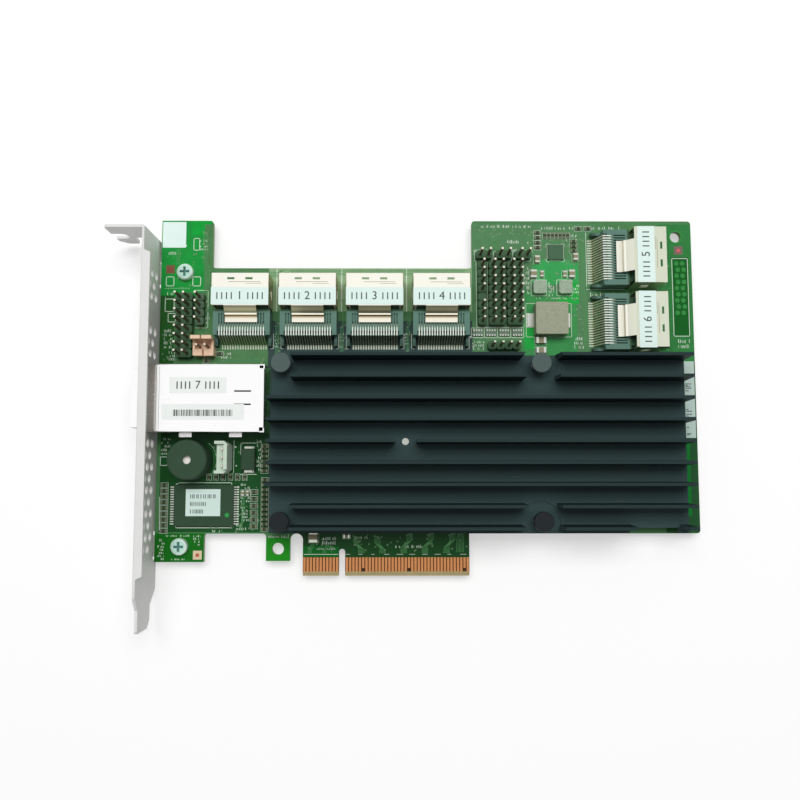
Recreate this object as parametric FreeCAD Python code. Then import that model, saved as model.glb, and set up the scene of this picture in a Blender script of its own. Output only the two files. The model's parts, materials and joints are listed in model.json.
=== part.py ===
"""RAID controller card: a full-height, half-length add-in card with its bracket.

Units are millimetres. X runs from the bracket to the far end of the board, Y from the
gold fingers to the top edge, Z up from the solder side to the component side. The origin
is the centre of the key notch, on the bottom edge of the fingers, halfway through the board.
"""
import FreeCAD
import Part
import math
import os

V = FreeCAD.Vector

# ---------------------------------------------------------------- board
board_length = 167.65
board_height = 111.15
board_thickness = 1.57
board_corner_radius = 1.0
key_to_left_edge = 57.45
main_edge_y = 12.8            # bottom edge of the main part of the board
step_depth = 15.35            # how far the middle stretch lies below the top edge
top_tab_width = 16.2          # full-height tab beside the bracket
step_length = 81.75           # the step, from that tab to the full-height far block
foot_tab_width = 15.1         # tab that carries the lower bracket screw
foot_tab_y = 4.2
hold_tab_left = 34.15         # small tab beside the fingers
hold_tab_width = 7.35
hold_tab_y = 4.5
hold_tab_hole = 3.6
rear_hole = 3.4
rear_hole_inset = 4.9         # from the right edge
rear_hole_drop = 5.1          # from the top edge

# ---------------------------------------------------------------- gold fingers
finger_pitch = 1.0
finger_width = 0.7
finger_y = 1.3
finger_top = 5.6
finger_thickness = 0.05
short_finger_y = 2.4
fingers_before_key = 11
fingers_after_key = 38
short_fingers = (17, 31, 48)  # presence-detect contacts on the component side
key_width = 1.9
key_height = 8.15
key_to_finger = 1.5           # from the key's centre to the fingers beside it
connector_margin = 0.5
bevel_height = 1.1
bevel_depth = 0.45

# ---------------------------------------------------------------- bracket
sheet = 0.86
bracket_gap = 0.74            # between the board's edge and the bracket's inner face
bracket_top = 105.0
bracket_bottom = -15.1
bracket_low = -4.07           # from the component face
bracket_width = 18.42
tongue_width = 10.9
tongue_offset = 4.7           # from the bracket's low edge to the tongue
tongue_y = -8.4
shoulder_y = -4.3
rim_depth = 2.7
rim_low_y = 0.5
rim_high_y = 97.8
tab_length = 11.43
tab_root_low = 4.4            # low side of the screw tab's root, from the component face
tab_low = -1.4
lobe_inner = 5.6
slot_width = 4.5
slot_depth = 4.7
slot_z = 5.7
ear_width = 6.4
ear_reach = 11.6
ear_relief = 1.2
ear_holes_x = 7.8
upper_screw_y = 94.3
lower_screw_y = 8.95
vent_diameter = 2.6
vent_pitch = 4.07
vent_z = 6.3
vent_low_y = 8.5
vent_low_rows = 10
vent_mid_y = 67.65
vent_high_y = 85.45
vent_short_rows = 3

# ---------------------------------------------------------------- bracket screws
screw_head = 5.2
screw_head_height = 1.9
screw_shank = 2.9
screw_length = 3.2
screw_clearance = 0.2
cross_width = 0.8
cross_length = 3.0
cross_depth = 1.0

# ---------------------------------------------------------------- heat sink
sink_left_gap = 1.2           # beyond the rear of the external port
sink_right_gap = 5.55         # from the board's right edge
sink_bottom_gap = 0.5         # above the main bottom edge
sink_port_gap = 2.0           # below the contacts of the ports along the step
sink_side_gap = 1.8           # below the lower port of the far end
sink_seat = 3.0               # underside above the component face
sink_base = 2.2
fin_height = 7.8
fin_tip = 0.95
fin_root = 1.5
fin_count = 9
fin_inset = 0.75              # top fin's centre below the sink's top edge
sink_lip = 1.8                # base below the last fin's centre
pin_left_inset = 3.8
pin_spacing_x = 78.0
pin_top_inset = 3.05
pin_bottom_inset = 3.65
pocket_radius = 6.0
pocket_depth = 0.35
end_pocket = 6.9              # fins start this far in beside the left pins
edge_cut_left = 108.6         # cut in the lower edge, from the sink's left end
edge_cut_length = 15.0
edge_cut_depth = 1.6          # the last fin stops here as well
rivet_from_left = 41.1
rivet_gap = 6.6
rivet_radius = 1.05

# ---------------------------------------------------------------- push pins and springs
cap_radius = 3.0
cap_thickness = 1.5
cap_top = 10.5                # above the component face
pin_shaft = 1.35
pin_board_clearance = 0.2
pin_sink_clearance = 0.45
barb_radius = 1.85
barb_length = 2.0
barb_slit = 0.5
spring_wire = 0.4
spring_radius = 2.25
spring_turns = 3.5

# ---------------------------------------------------------------- chips under the heat sink
pad_thickness = 0.7
processor_size = 31.0
processor_x = 22.0            # centre, from the sink's left end
expander_size = 35.0
expander_x = 62.0
memory_size = (11.0, 13.0)
memory_x = (96.0, 112.0)
memory_y = (15.0, 38.0)
memory_height = 1.2

# ---------------------------------------------------------------- internal ports
port_width = 17.5
port_height = 8.6
port_depth = 9.85
port_sheet = 0.35
port_count = 4
first_port_shift = 0.17       # the row's offset from the middle of the step
port_front_inset = 3.9        # cage front below the step edge
side_port_front = 58.65       # cage front, from the far block's left edge
side_port_inset = 4.5         # upper side port's side, below the top edge
side_port_gap = 2.6           # between the two side ports
port_gap = 0.65               # between the cage and the plastic behind it
block_length = 7.9
block_height = 5.6
nose_width = 15.0
nose_front = 4.7              # set back from the cage's mouth
nose_low = 2.0
nose_high = 6.0
slot_low = 3.4
slot_high = 4.6
contact_count = 18
contact_pitch = 0.8
contact_width = 0.32
contact_thickness = 0.2
tail_reach = 3.65
tail_slope = 2.2              # contacts slope down over this length behind the plastic
contact_rise = (3.0, 5.5)     # contacts rise between these distances behind the plastic's front
groove_start = 1.2            # behind the plastic's front
groove_depth = 0.7
groove_width = 0.42
neck_height = 4.85            # top of the nose where the cage ends
tongue_flap_width = 9.8
latch_slot = (2.2, 0.65)
latch_slot_offset = 2.75
port_label_size = (17.4, 5.3)
port_label_setback = 4.4
side_label_setback = 3.7
label_thickness = 0.08

# ---------------------------------------------------------------- external port
outer_port_y = 53.68
outer_width = 20.5
outer_height = 9.8
outer_rear = 34.5             # rear of the cage, from the left edge
outer_sheet = 0.4
mouth_width = 17.8
mouth_low = 0.55
mouth_high = 9.35
mouth_reach = 3.6             # out of the bracket's outer face
mouth_clearance = 0.2
gasket_rim = 0.9
outer_nose_setback = 4.6
outer_slit = (5.0, 0.45)
outer_slit_offset = 1.98
outer_slit_x = 25.7
outer_feet_x = (8.8, 24.3)
outer_foot = (3.9, 1.0)
outer_notch = (1.4, 1.3, 1.2)   # at the roof's rear corners: across, along, deep
outer_contacts = 13
outer_label_a = (16.9, 4.8)
outer_label_b = (24.4, 4.7)

# ---------------------------------------------------------------- pin headers
pin_pitch = 2.54
pin_width = 0.64
header_height = 2.54
pin_top = 8.7
pin_below = 1.3
pin_hole = 1.05
bevel_of_header = 0.45
left_header_x = -6.35         # from the middle of the shrouded connector
left_short_header_x = -1.55
left_header_y = 77.2
far_header_x = (3.0, 7.6, 13.35)  # from the far block's left edge
far_header_y = -23.65         # from the top edge
jumper_x = (3.7, 9.8, 15.9)
jumper_gap = 0.77             # between the far headers and the jumper headers
far_short_header_x = 9.75
far_short_header_y = -40.25

# ---------------------------------------------------------------- other parts
buzzer_radius = 6.0
buzzer_height = 8.0
buzzer_wall = 0.8
buzzer_sound_hole = 2.6
buzzer_x = 11.4
buzzer_gap = 1.15             # below the feet of the external port
fan_x = 21.7
fan_gap = 1.45                # below the feet of the external port
fan_length = 9.8
fan_depth = 4.1
fan_pin_inset = 2.45          # pins behind the connector's open side
fan_floor = 5.2
fan_wall_height = 7.6
fan_end_height = 6.4
fan_wall = 1.1
fan_end_wall = 0.9
fan_bevel = 1.2
fan_pin_top = 7.0
shroud_gap = 0.14             # between the connector and the first port's side
shroud_y = 70.3
shroud_size = (6.4, 5.8)
shroud_height = 6.6
shroud_front_height = 3.3     # the wall towards the fingers
shroud_wall = 1.1
shroud_floor = 1.6
shroud_slit = 0.5
flash_x = 15.1
flash_y = 21.4
flash_body = (18.3, 12.6)
flash_height = 1.1
flash_lead = 1.15             # leads reach this far beyond the body
flash_leads = 16
flash_pitch = 0.75
flash_label = (10.6, 8.2)
diode_x = 28.6
diode_y = -0.58               # from the middle of the fan connector
diode_size = (4.3, 6.6)
diode_height = 2.6
diode_tab = (2.4, 0.5)
regulator_x = 26.5            # centre, from the far block's left edge
regulator_y = -10.25          # from the top edge
regulator_size = 4.7
regulator_height = 0.9
choke_x = 24.35               # centre, from the far block's left edge
choke_y = -31.95
choke_size = 10.0
choke_height = 4.0
choke_corner = 0.45
choke_lead = (2.0, 4.0)
small_choke_x = (21.15, 29.25)
small_choke_y = -21.65
small_choke_size = 4.1
small_choke_height = 2.0
array_x = 1.7                 # first array, from the far block's left edge
array_pitch = 4.15
array_y = -35.95              # from the top edge
array_size = (3.2, 1.6)
array_height = 0.55
edge_label_size = (4.6, 24.0)
edge_label_inset = 0.35       # from the right edge
edge_label_y = 54.2

# ---------------------------------------------------------------- derived places
left = -key_to_left_edge
right = left + board_length
face = board_thickness / 2
back = -board_thickness / 2
step_y = board_height - step_depth
block_left = left + top_tab_width + step_length
connector_left = -(key_to_finger + (fingers_before_key - 1) * finger_pitch + connector_margin)
connector_right = key_to_finger + (fingers_after_key - 1) * finger_pitch + connector_margin

inner_x = left - bracket_gap
outer_x = inner_x - sheet
bracket_z0 = face + bracket_low
bracket_z1 = bracket_z0 + bracket_width
screw_hole = screw_shank / 2 + screw_clearance

port_pitch = step_length / port_count
first_port_x = left + top_tab_width + port_pitch / 2 + first_port_shift
port_front_y = step_y - port_front_inset
port_rear = port_depth + port_gap + block_length + tail_reach
side_front_x = block_left + side_port_front
side_top_y = board_height - side_port_inset
top_ports = [(first_port_x + i * port_pitch, port_front_y) for i in range(port_count)]
side_ports = [(side_front_x, side_top_y - port_width / 2 - i * (port_width + side_port_gap))
              for i in range(2)]
side_low_y = side_ports[-1][1] - port_width / 2

sink_left = left + outer_rear + sink_left_gap
sink_right = right - sink_right_gap
sink_length = sink_right - sink_left
sink_y0 = main_edge_y + sink_bottom_gap
sink_y1 = min(port_front_y - port_rear - sink_port_gap, side_low_y - sink_side_gap)
fin_pitch = (sink_y1 - sink_y0 - sink_lip - fin_inset) / (fin_count - 1)
sink_z0 = face + sink_seat
sink_z1 = sink_z0 + sink_base
fin_z = sink_z1 + fin_height
chip_height = sink_seat - pad_thickness
pin_xs = (sink_left + pin_left_inset, sink_left + pin_left_inset + pin_spacing_x)
pin_ys = (sink_y0 + pin_bottom_inset, sink_y1 - pin_top_inset)
push_pins = [(x, y) for x in pin_xs for y in pin_ys]

outer_foot_y = outer_port_y - outer_width / 2 - outer_foot[1]
buzzer_y = outer_foot_y - buzzer_gap - buzzer_radius
fan_y = outer_foot_y - fan_gap - fan_length / 2
fan_low_y = fan_y - fan_length / 2

header_mid_y = board_height + far_header_y
shroud_x = first_port_x - port_width / 2 - shroud_gap - shroud_size[0] / 2
regulator_at = (block_left + regulator_x, board_height + regulator_y)
choke_mid_y = board_height + choke_y
small_choke_mid_y = board_height + small_choke_y


# ---------------------------------------------------------------- helpers
def box(x0, x1, y0, y1, z0, z1):
    """A box between two corners."""
    return Part.makeBox(x1 - x0, y1 - y0, z1 - z0, V(x0, y0, z0))


def rod(x, y, z0, z1, radius):
    """An upright cylinder."""
    return Part.makeCylinder(radius, z1 - z0, V(x, y, z0))


def prism(points, direction):
    """A closed outline of points, extruded along a vector."""
    wire = Part.makePolygon([V(*p) for p in points] + [V(*points[0])])
    return Part.Face(wire).extrude(V(*direction))


def joined(shapes):
    """One solid from shapes that touch or overlap."""
    shape = shapes[0].fuse(shapes[1:]) if len(shapes) > 1 else shapes[0]
    return shape.removeSplitter()


def round_edges(shape, radius, chosen):
    """Fillet the edges that the test picks."""
    edges = [e for e in shape.Edges if chosen(e)]
    return shape.makeFillet(radius, edges) if edges else shape


def runs_along(edge, axis):
    """True for a straight edge along an axis, 0 to 2 for X to Z."""
    if len(edge.Vertexes) != 2:
        return False
    step = edge.Vertexes[1].Point - edge.Vertexes[0].Point
    others = [abs(step[i]) for i in range(3) if i != axis]
    return abs(step[axis]) > 1e-6 and max(others) < 1e-6


def round_box(x0, x1, y0, y1, z0, z1, radius):
    """A box with its four upright edges rounded."""
    return round_edges(box(x0, x1, y0, y1, z0, z1), radius, lambda e: runs_along(e, 2))


def strip(path, thickness, width, middle):
    """A flat metal strip: a path of (v, z) points, given a thickness and a width along u."""
    half = thickness / 2
    sides = ([], [])
    for i, (v, z) in enumerate(path):
        before = path[max(i - 1, 0)]
        after = path[min(i + 1, len(path) - 1)]
        a = (v - before[0], z - before[1]) if i else (after[0] - v, after[1] - z)
        b = (after[0] - v, after[1] - z) if i < len(path) - 1 else a
        na = math.hypot(*a)
        nb = math.hypot(*b)
        normal = (-a[1] / na - b[1] / nb, a[0] / na + b[0] / nb)
        size = math.hypot(*normal)
        cosine = size / 2
        step = (normal[0] / size * half / cosine, normal[1] / size * half / cosine)
        sides[0].append((v + step[0], z + step[1]))
        sides[1].append((v - step[0], z - step[1]))
    outline = sides[0] + sides[1][::-1]
    u0 = middle - width / 2
    return prism([(u0, v, z) for v, z in outline], (width, 0, 0))


def moved(shape, x, y, z=0.0):
    """A copy of the shape, moved."""
    copy = shape.copy()
    copy.translate(V(x, y, z))
    return copy


def facing(shape, degrees, x, y):
    """A port built with its mouth at the origin facing +Y, turned and set on the board."""
    copy = shape.copy()
    copy.rotate(V(0, 0, 0), V(0, 0, 1), degrees)
    copy.translate(V(x, y, face))
    return copy


nodes = {}


# ---------------------------------------------------------------- pin headers
def header_places():
    """Each header: node, centre, columns, rows and the rows left without a pin."""
    jumper_y = header_mid_y + 4.5 * pin_pitch + jumper_gap
    single_x, *double_x = far_header_x
    places = [
        ("left_header", shroud_x + left_header_x, left_header_y, 2, 8, ()),
        ("left_short_header", shroud_x + left_short_header_x, left_header_y + 2 * pin_pitch,
         1, 4, ()),
        ("far_headers", block_left + single_x, header_mid_y, 1, 8, (3,)),
    ]
    places += [("far_headers", block_left + x, header_mid_y, 2, 8, ()) for x in double_x]
    places += [("jumper_headers", block_left + x, jumper_y, 2, 1, ()) for x in jumper_x]
    places.append(("far_short_header", block_left + far_short_header_x,
                   board_height + far_short_header_y, 4, 1, ()))
    return places


def header_pins_of(place):
    """The pin positions of one header."""
    _, x, y, columns, rows, gaps = place
    return [(x + (c - (columns - 1) / 2) * pin_pitch, y + (r - (rows - 1) / 2) * pin_pitch)
            for c in range(columns) for r in range(rows) if r not in gaps]


def header_body(place):
    """The moulded strip: one bevelled cell per row, with a groove between the cells."""
    _, x, y, columns, rows, _ = place
    along_x = columns > 2
    count = columns if along_x else rows
    across = (rows if along_x else columns) * pin_pitch / 2
    bevel = bevel_of_header
    outline = []
    for i in range(count):
        start = (i - count / 2) * pin_pitch
        outline += [(across - bevel, start), (across, start + bevel),
                    (across, start + pin_pitch - bevel), (across - bevel, start + pin_pitch)]
    outline += [(-a, b) for a, b in outline[::-1]]
    unique = [p for i, p in enumerate(outline) if math.dist(p, outline[i - 1]) > 1e-6]
    if along_x:
        unique = [(b, a) for a, b in unique]
    body = prism([(x + a, y + b, face) for a, b in unique], (0, 0, header_height))
    half = pin_width / 2
    holes = [box(px - half, px + half, py - half, py + half, face, face + header_height)
             for px, py in header_pins_of(place)]
    groove = 0.12
    depth = 0.35
    top = face + header_height
    for i in range(1, count):
        at = (i - count / 2) * pin_pitch
        if along_x:
            holes.append(box(x + at - groove, x + at + groove, y - across, y + across,
                             top - depth, top))
        else:
            holes.append(box(x - across, x + across, y + at - groove, y + at + groove,
                             top - depth, top))
    return body.cut(holes)


def square_pin(z0, z1):
    """A square pin with its ends bevelled, upright at the origin."""
    half = pin_width / 2
    blank = box(-half, half, -half, half, z0, z1)
    ends = [e for e in blank.Edges if not runs_along(e, 2)]
    return blank.makeChamfer(0.16, ends)


def fan_pins():
    """The three pins of the fan connector."""
    return [(left + fan_x, fan_y + i * pin_pitch) for i in (-1, 0, 1)]


def shroud_pins():
    """The two pins of the shrouded connector."""
    return [(shroud_x + i * pin_pitch / 2, shroud_y) for i in (-1, 1)]


def buzzer_pins():
    """The two round leads of the buzzer."""
    return [(left + buzzer_x, buzzer_y + i * 3.25) for i in (-1, 1)]


# ---------------------------------------------------------------- board
def board_outline():
    """The outline, clockwise from the lower left corner of the foot tab."""
    hold_right = left + hold_tab_left + hold_tab_width
    return [
        (left, foot_tab_y),
        (left, board_height),
        (left + top_tab_width, board_height),
        (left + top_tab_width, step_y),
        (block_left, step_y),
        (block_left, board_height),
        (right, board_height),
        (right, main_edge_y),
        (connector_right, main_edge_y),
        (connector_right, 0),
        (connector_left, 0),
        (connector_left, main_edge_y),
        (hold_right, main_edge_y),
        (hold_right, hold_tab_y),
        (left + hold_tab_left, hold_tab_y),
        (left + hold_tab_left, main_edge_y),
        (left + foot_tab_width, main_edge_y),
        (left + foot_tab_width, foot_tab_y),
    ]


def bevel_cutter(x0, x1, side):
    """A wedge that bevels the fingers' edge on one side of the board."""
    z = side * board_thickness / 2
    inner = z - side * bevel_depth
    profile = [(x0, -0.1, z + side * 0.1), (x0, bevel_height, z + side * 0.1),
               (x0, bevel_height, z), (x0, 0, inner), (x0, -0.1, inner)]
    return prism(profile, (x1 - x0, 0, 0))


def circuit_board():
    """The printed board with its tabs, key notch, bevelled edge and holes."""
    blank = prism([(x, y, back) for x, y in board_outline()], (0, 0, board_thickness))
    inner = [(left + top_tab_width, step_y), (block_left, step_y),
             (left + foot_tab_width, main_edge_y), (left + hold_tab_left, main_edge_y),
             (right, board_height), (left + top_tab_width, board_height),
             (block_left, board_height), (right, main_edge_y)]

    def at_corner(edge):
        if not runs_along(edge, 2):
            return False
        p = edge.Vertexes[0].Point
        return any(math.dist((p.x, p.y), c) < 0.01 for c in inner)

    blank = round_edges(blank, board_corner_radius, at_corner)
    relief_left = left + hold_tab_left + hold_tab_width
    relief_radius = (connector_left - relief_left) / 2
    relief_x = (relief_left + connector_left) / 2

    def at_relief(edge):
        if not runs_along(edge, 2):
            return False
        p = edge.Vertexes[0].Point
        return abs(p.y - main_edge_y) < 0.01 and abs(p.x - relief_x) < relief_radius + 0.01

    blank = round_edges(blank, relief_radius * 0.98, at_relief)
    cuts = [bevel_cutter(connector_left - 1, connector_right + 1, side) for side in (-1, 1)]
    half_key = key_width / 2
    cuts.append(box(-half_key, half_key, -1, key_height - half_key, back - 1, face + 1))
    cuts.append(rod(0, key_height - half_key, back - 1, face + 1, half_key))
    holes = [(right - rear_hole_inset, board_height - rear_hole_drop, rear_hole / 2),
             (left + hold_tab_left + hold_tab_width / 2, hold_tab_y + hold_tab_width / 2,
              hold_tab_hole / 2)]
    holes += [(left + ear_holes_x, y, screw_hole) for y in (upper_screw_y, lower_screw_y)]
    holes += [(x, y, pin_shaft + pin_board_clearance) for x, y in push_pins]
    for place in header_places():
        holes += [(x, y, pin_hole / 2) for x, y in header_pins_of(place)]
    for x, y in fan_pins() + shroud_pins() + buzzer_pins():
        holes.append((x, y, pin_hole / 2))
    cuts += [rod(x, y, back - 1, face + 1, radius) for x, y, radius in holes]
    return blank.cut(cuts)


def edge_contacts():
    """Gold fingers on both sides, seated on the board's faces."""
    fingers = []
    places = [-key_to_finger - i * finger_pitch for i in range(fingers_before_key)][::-1]
    places += [key_to_finger + i * finger_pitch for i in range(fingers_after_key)]
    half = finger_width / 2
    for number, x in enumerate(places, start=1):
        low = short_finger_y if number in short_fingers else finger_y
        fingers.append(box(x - half, x + half, low, finger_top, face, face + finger_thickness))
        low = short_finger_y if number == 1 else finger_y
        fingers.append(box(x - half, x + half, low, finger_top, back - finger_thickness, back))
    return Part.makeCompound(fingers)


# ---------------------------------------------------------------- bracket
def bracket_face():
    """The flat face with its shoulders and tongue."""
    tongue_z0 = bracket_z0 + tongue_offset
    tongue_z1 = tongue_z0 + tongue_width
    tip = 2.2
    outline = [
        (bracket_top, bracket_z0), (bracket_top, bracket_z1),
        (shoulder_y, bracket_z1), (tongue_y, tongue_z1),
        (bracket_bottom + 0.6, tongue_z1), (bracket_bottom, tongue_z1 - 0.8),
        (bracket_bottom, tongue_z0 + tip), (bracket_bottom + tip, tongue_z0),
        (tongue_y, tongue_z0), (shoulder_y, bracket_z0),
    ]
    return prism([(outer_x, y, z) for y, z in outline], (sheet, 0, 0))


def screw_tab():
    """The tab at the top, bent outwards, with its open screw slot and its cut root."""
    y0 = bracket_top - sheet
    end = outer_x - tab_length
    z_root = face + tab_root_low
    z_low = face + tab_low
    lobe = outer_x - lobe_inner
    outline = [
        (inner_x, bracket_z1), (end + 1.0, bracket_z1), (end, bracket_z1 - 1.0),
        (end, z_low + 2.4), (end + 2.4, z_low), (lobe - 0.4, z_low),
        (lobe, z_low + 0.8), (lobe, z_root), (inner_x, z_root),
    ]
    tab = prism([(x, y0, z) for x, z in outline], (0, sheet, 0))
    radius = slot_width / 2
    z_slot = face + slot_z
    closed = end + slot_depth - radius
    slot = box(end - 1, closed, y0 - 1, bracket_top + 1, z_slot - radius, z_slot + radius)
    drill = Part.makeCylinder(radius, sheet + 2, V(closed, y0 - 1, z_slot), V(0, 1, 0))
    return tab.cut([slot, drill])


def bracket_ear(y):
    """An ear bent in under the board, drilled for a bracket screw."""
    z1 = back
    z0 = z1 - sheet
    half = ear_width / 2
    end = left + ear_reach
    corner = 1.6
    outline = [(outer_x, y - half), (end - corner, y - half), (end, y - half + corner),
               (end, y + half - corner), (end - corner, y + half), (outer_x, y + half)]
    ear = prism([(x, b, z0) for x, b in outline], (0, 0, sheet))
    return ear.cut(rod(left + ear_holes_x, y, z0 - 1, z1 + 1, screw_shank / 2))


def vent_holes():
    """Rows of round vents, two and three by turns."""
    row_step = vent_pitch * math.sqrt(3) / 2
    rows = [(vent_low_y + i * row_step, i % 2 == 1) for i in range(vent_low_rows)]
    for start in (vent_mid_y, vent_high_y):
        rows += [(start + i * row_step, i % 2 == 0) for i in range(vent_short_rows)]
    holes = []
    for y, wide in rows:
        offsets = (-1, 0, 1) if wide else (-0.5, 0.5)
        for k in offsets:
            z = face + vent_z + k * vent_pitch
            holes.append(Part.makeCylinder(vent_diameter / 2, sheet + 2,
                                           V(outer_x - 1, y, z), V(1, 0, 0)))
    return holes


def bracket():
    """The mounting bracket, one folded sheet."""
    rim_z0 = bracket_z1 - sheet
    rim_end = outer_x + rim_depth
    taper = 1.2
    rim = prism([(outer_x, rim_low_y, rim_z0), (rim_end, rim_low_y + taper, rim_z0),
                 (rim_end, rim_high_y - taper, rim_z0), (outer_x, rim_high_y, rim_z0)],
                (0, 0, sheet))
    pieces = [bracket_face(), screw_tab(), rim]
    pieces += [bracket_ear(y) for y in (upper_screw_y, lower_screw_y)]
    shape = joined(pieces)
    cuts = vent_holes()
    half = ear_width / 2
    for y in (upper_screw_y, lower_screw_y):
        for side in (-1, 1):
            near = y + side * half
            far = near + side * ear_relief
            cuts.append(box(outer_x - 1, inner_x + 1, min(near, far), max(near, far),
                            bracket_z0 - 1, back + 0.4))
        cuts.append(box(outer_x - 1, inner_x + 1, y - half, y + half,
                        bracket_z0 - 1, back - sheet))
    reach = mouth_width / 2 + mouth_clearance
    window = box(outer_x - 1, inner_x + 1, outer_port_y - reach, outer_port_y + reach,
                 face + mouth_low - mouth_clearance, face + mouth_high + mouth_clearance)
    cuts.append(round_edges(window, 0.8, lambda e: runs_along(e, 0)))
    shape = shape.cut(cuts)

    def at_fold(edge):
        box_ = edge.BoundBox
        along_rim = runs_along(edge, 1) and edge.Length > 50
        rim_corner = abs(box_.XMin - outer_x) < 1e-3 and abs(box_.ZMin - bracket_z1) < 1e-3
        along_tab = runs_along(edge, 2) and edge.Length > 5
        tab_corner = abs(box_.XMin - inner_x) < 1e-3 and abs(box_.YMin - bracket_top) < 1e-3
        return (along_rim and rim_corner) or (along_tab and tab_corner)

    return round_edges(shape, 0.6 * sheet, at_fold)


def bracket_screws():
    """Two pan-head screws with crossed recesses, down through the board into the ears."""
    screws = []
    for y in (upper_screw_y, lower_screw_y):
        x = left + ear_holes_x
        head = rod(x, y, face, face + screw_head_height, screw_head / 2)
        head = round_edges(head, 0.8, lambda e: abs(e.BoundBox.ZMin - face - screw_head_height)
                           < 1e-6 and len(e.Vertexes) == 1)
        shank = rod(x, y, face - screw_length, face, screw_shank / 2)
        cross = []
        top = face + screw_head_height
        for long, short in ((cross_length / 2, cross_width / 2),
                            (cross_width / 2, cross_length / 2)):
            cross.append(box(x - long, x + long, y - short, y + short,
                             top - cross_depth, top + 1))
        screws.append(joined([head, shank]).cut(cross))
    return Part.makeCompound(screws)


# ---------------------------------------------------------------- heat sink
def fin(y):
    """One tapered fin, the whole length of the sink."""
    root = fin_root / 2
    tip = fin_tip / 2
    base = sink_z1 - 0.2
    return prism([(sink_left, y - root, base), (sink_left, y + root, base),
                  (sink_left, y + root, sink_z1), (sink_left, y + tip, fin_z),
                  (sink_left, y - tip, fin_z), (sink_left, y - root, sink_z1)],
                 (sink_length, 0, 0))


def heatsink():
    """The extruded heat sink, milled away round its pins, its rivet and its lower edge."""
    fins = [fin(sink_y1 - fin_inset - i * fin_pitch) for i in range(fin_count)]
    plate = box(sink_left, sink_right, sink_y0, sink_y1, sink_z0, sink_z1)
    shape = joined([plate] + fins)
    above = fin_z + 1
    cuts = []
    row_band = 1.65 * fin_pitch
    for x, y in push_pins:
        upper = y > (sink_y0 + sink_y1) / 2
        y0 = sink_y1 - row_band if upper else sink_y0 - 1
        y1 = sink_y1 + 1 if upper else sink_y0 + row_band + sink_lip - fin_root
        if x == pin_xs[0]:
            cuts.append(box(sink_left - 1, sink_left + end_pocket, y0, y1, sink_z1, above))
        else:
            half = pocket_radius - 1.05
            cuts.append(box(x - half, x + half, y0, y1, sink_z1, above))
            cuts.append(rod(x, y, sink_z1 - pocket_depth, above, pocket_radius))
        cuts.append(rod(x, y, sink_z0 - 1, above, pin_shaft + pin_sink_clearance))
    middle_y = sink_y1 - fin_inset - (fin_count - 1) / 2 * fin_pitch
    rivet_x = sink_left + rivet_from_left
    cuts.append(box(rivet_x - rivet_gap / 2, rivet_x + rivet_gap / 2, middle_y - fin_root,
                    middle_y + fin_root, sink_z1, above))
    cuts.append(rod(rivet_x, middle_y, sink_z0 - 1, above, rivet_radius))
    cut_x0 = sink_left + edge_cut_left
    cut_x1 = cut_x0 + edge_cut_length
    cuts.append(box(cut_x0, cut_x1, sink_y0 - 1, sink_y0 + edge_cut_depth, sink_z0 - 1, above))
    cuts.append(box(cut_x0, cut_x1, sink_y0 - 1, sink_y0 + sink_lip + fin_root / 2 + 0.1,
                    sink_z1, above))
    return shape.cut(cuts)


def sink_rivet():
    """The bright stud seen in the middle of the sink, flush with its base."""
    middle_y = sink_y1 - fin_inset - (fin_count - 1) / 2 * fin_pitch
    x = sink_left + rivet_from_left
    return rod(x, middle_y, sink_z0, sink_z1 + 0.3, rivet_radius)


def push_pin():
    """A nylon push pin at the origin: cap, shaft and a split barb under the board."""
    top = face + cap_top
    cap = rod(0, 0, top - cap_thickness, top, cap_radius)
    cap = round_edges(cap, 0.35, lambda e: abs(e.BoundBox.ZMin - top) < 1e-6
                      and len(e.Vertexes) == 1)
    shaft = rod(0, 0, back, top - cap_thickness, pin_shaft)
    barb = Part.makeCone(barb_radius, 0.9, barb_length, V(0, 0, back), V(0, 0, -1))
    slit = box(-barb_slit / 2, barb_slit / 2, -barb_radius - 1, barb_radius + 1,
               back - barb_length - 1, back - 0.2)
    return joined([cap, shaft, barb]).cut(slit)


def push_pin_spring():
    """The coil spring that holds the cap off the heat sink."""
    floor = sink_z1 + spring_wire / 2
    top = face + cap_top - cap_thickness - spring_wire / 2
    height = top - floor
    helix = Part.makeHelix(height / spring_turns, height, spring_radius)
    ring = [math.radians(45 * i + 22.5) for i in range(8)]
    points = [V(spring_radius + spring_wire / 2 * math.cos(a), 0,
                spring_wire / 2 * math.sin(a)) for a in ring]
    section = Part.makePolygon(points + points[:1])
    coil = Part.Wire(helix.Edges).makePipeShell([section], True, True)
    coil.translate(V(0, 0, floor))
    return coil


def at_pins(shape, low=0.0):
    """Copies of one shape at the four push pins."""
    return Part.makeCompound([moved(shape, x, y, low) for x, y in push_pins])


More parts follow.
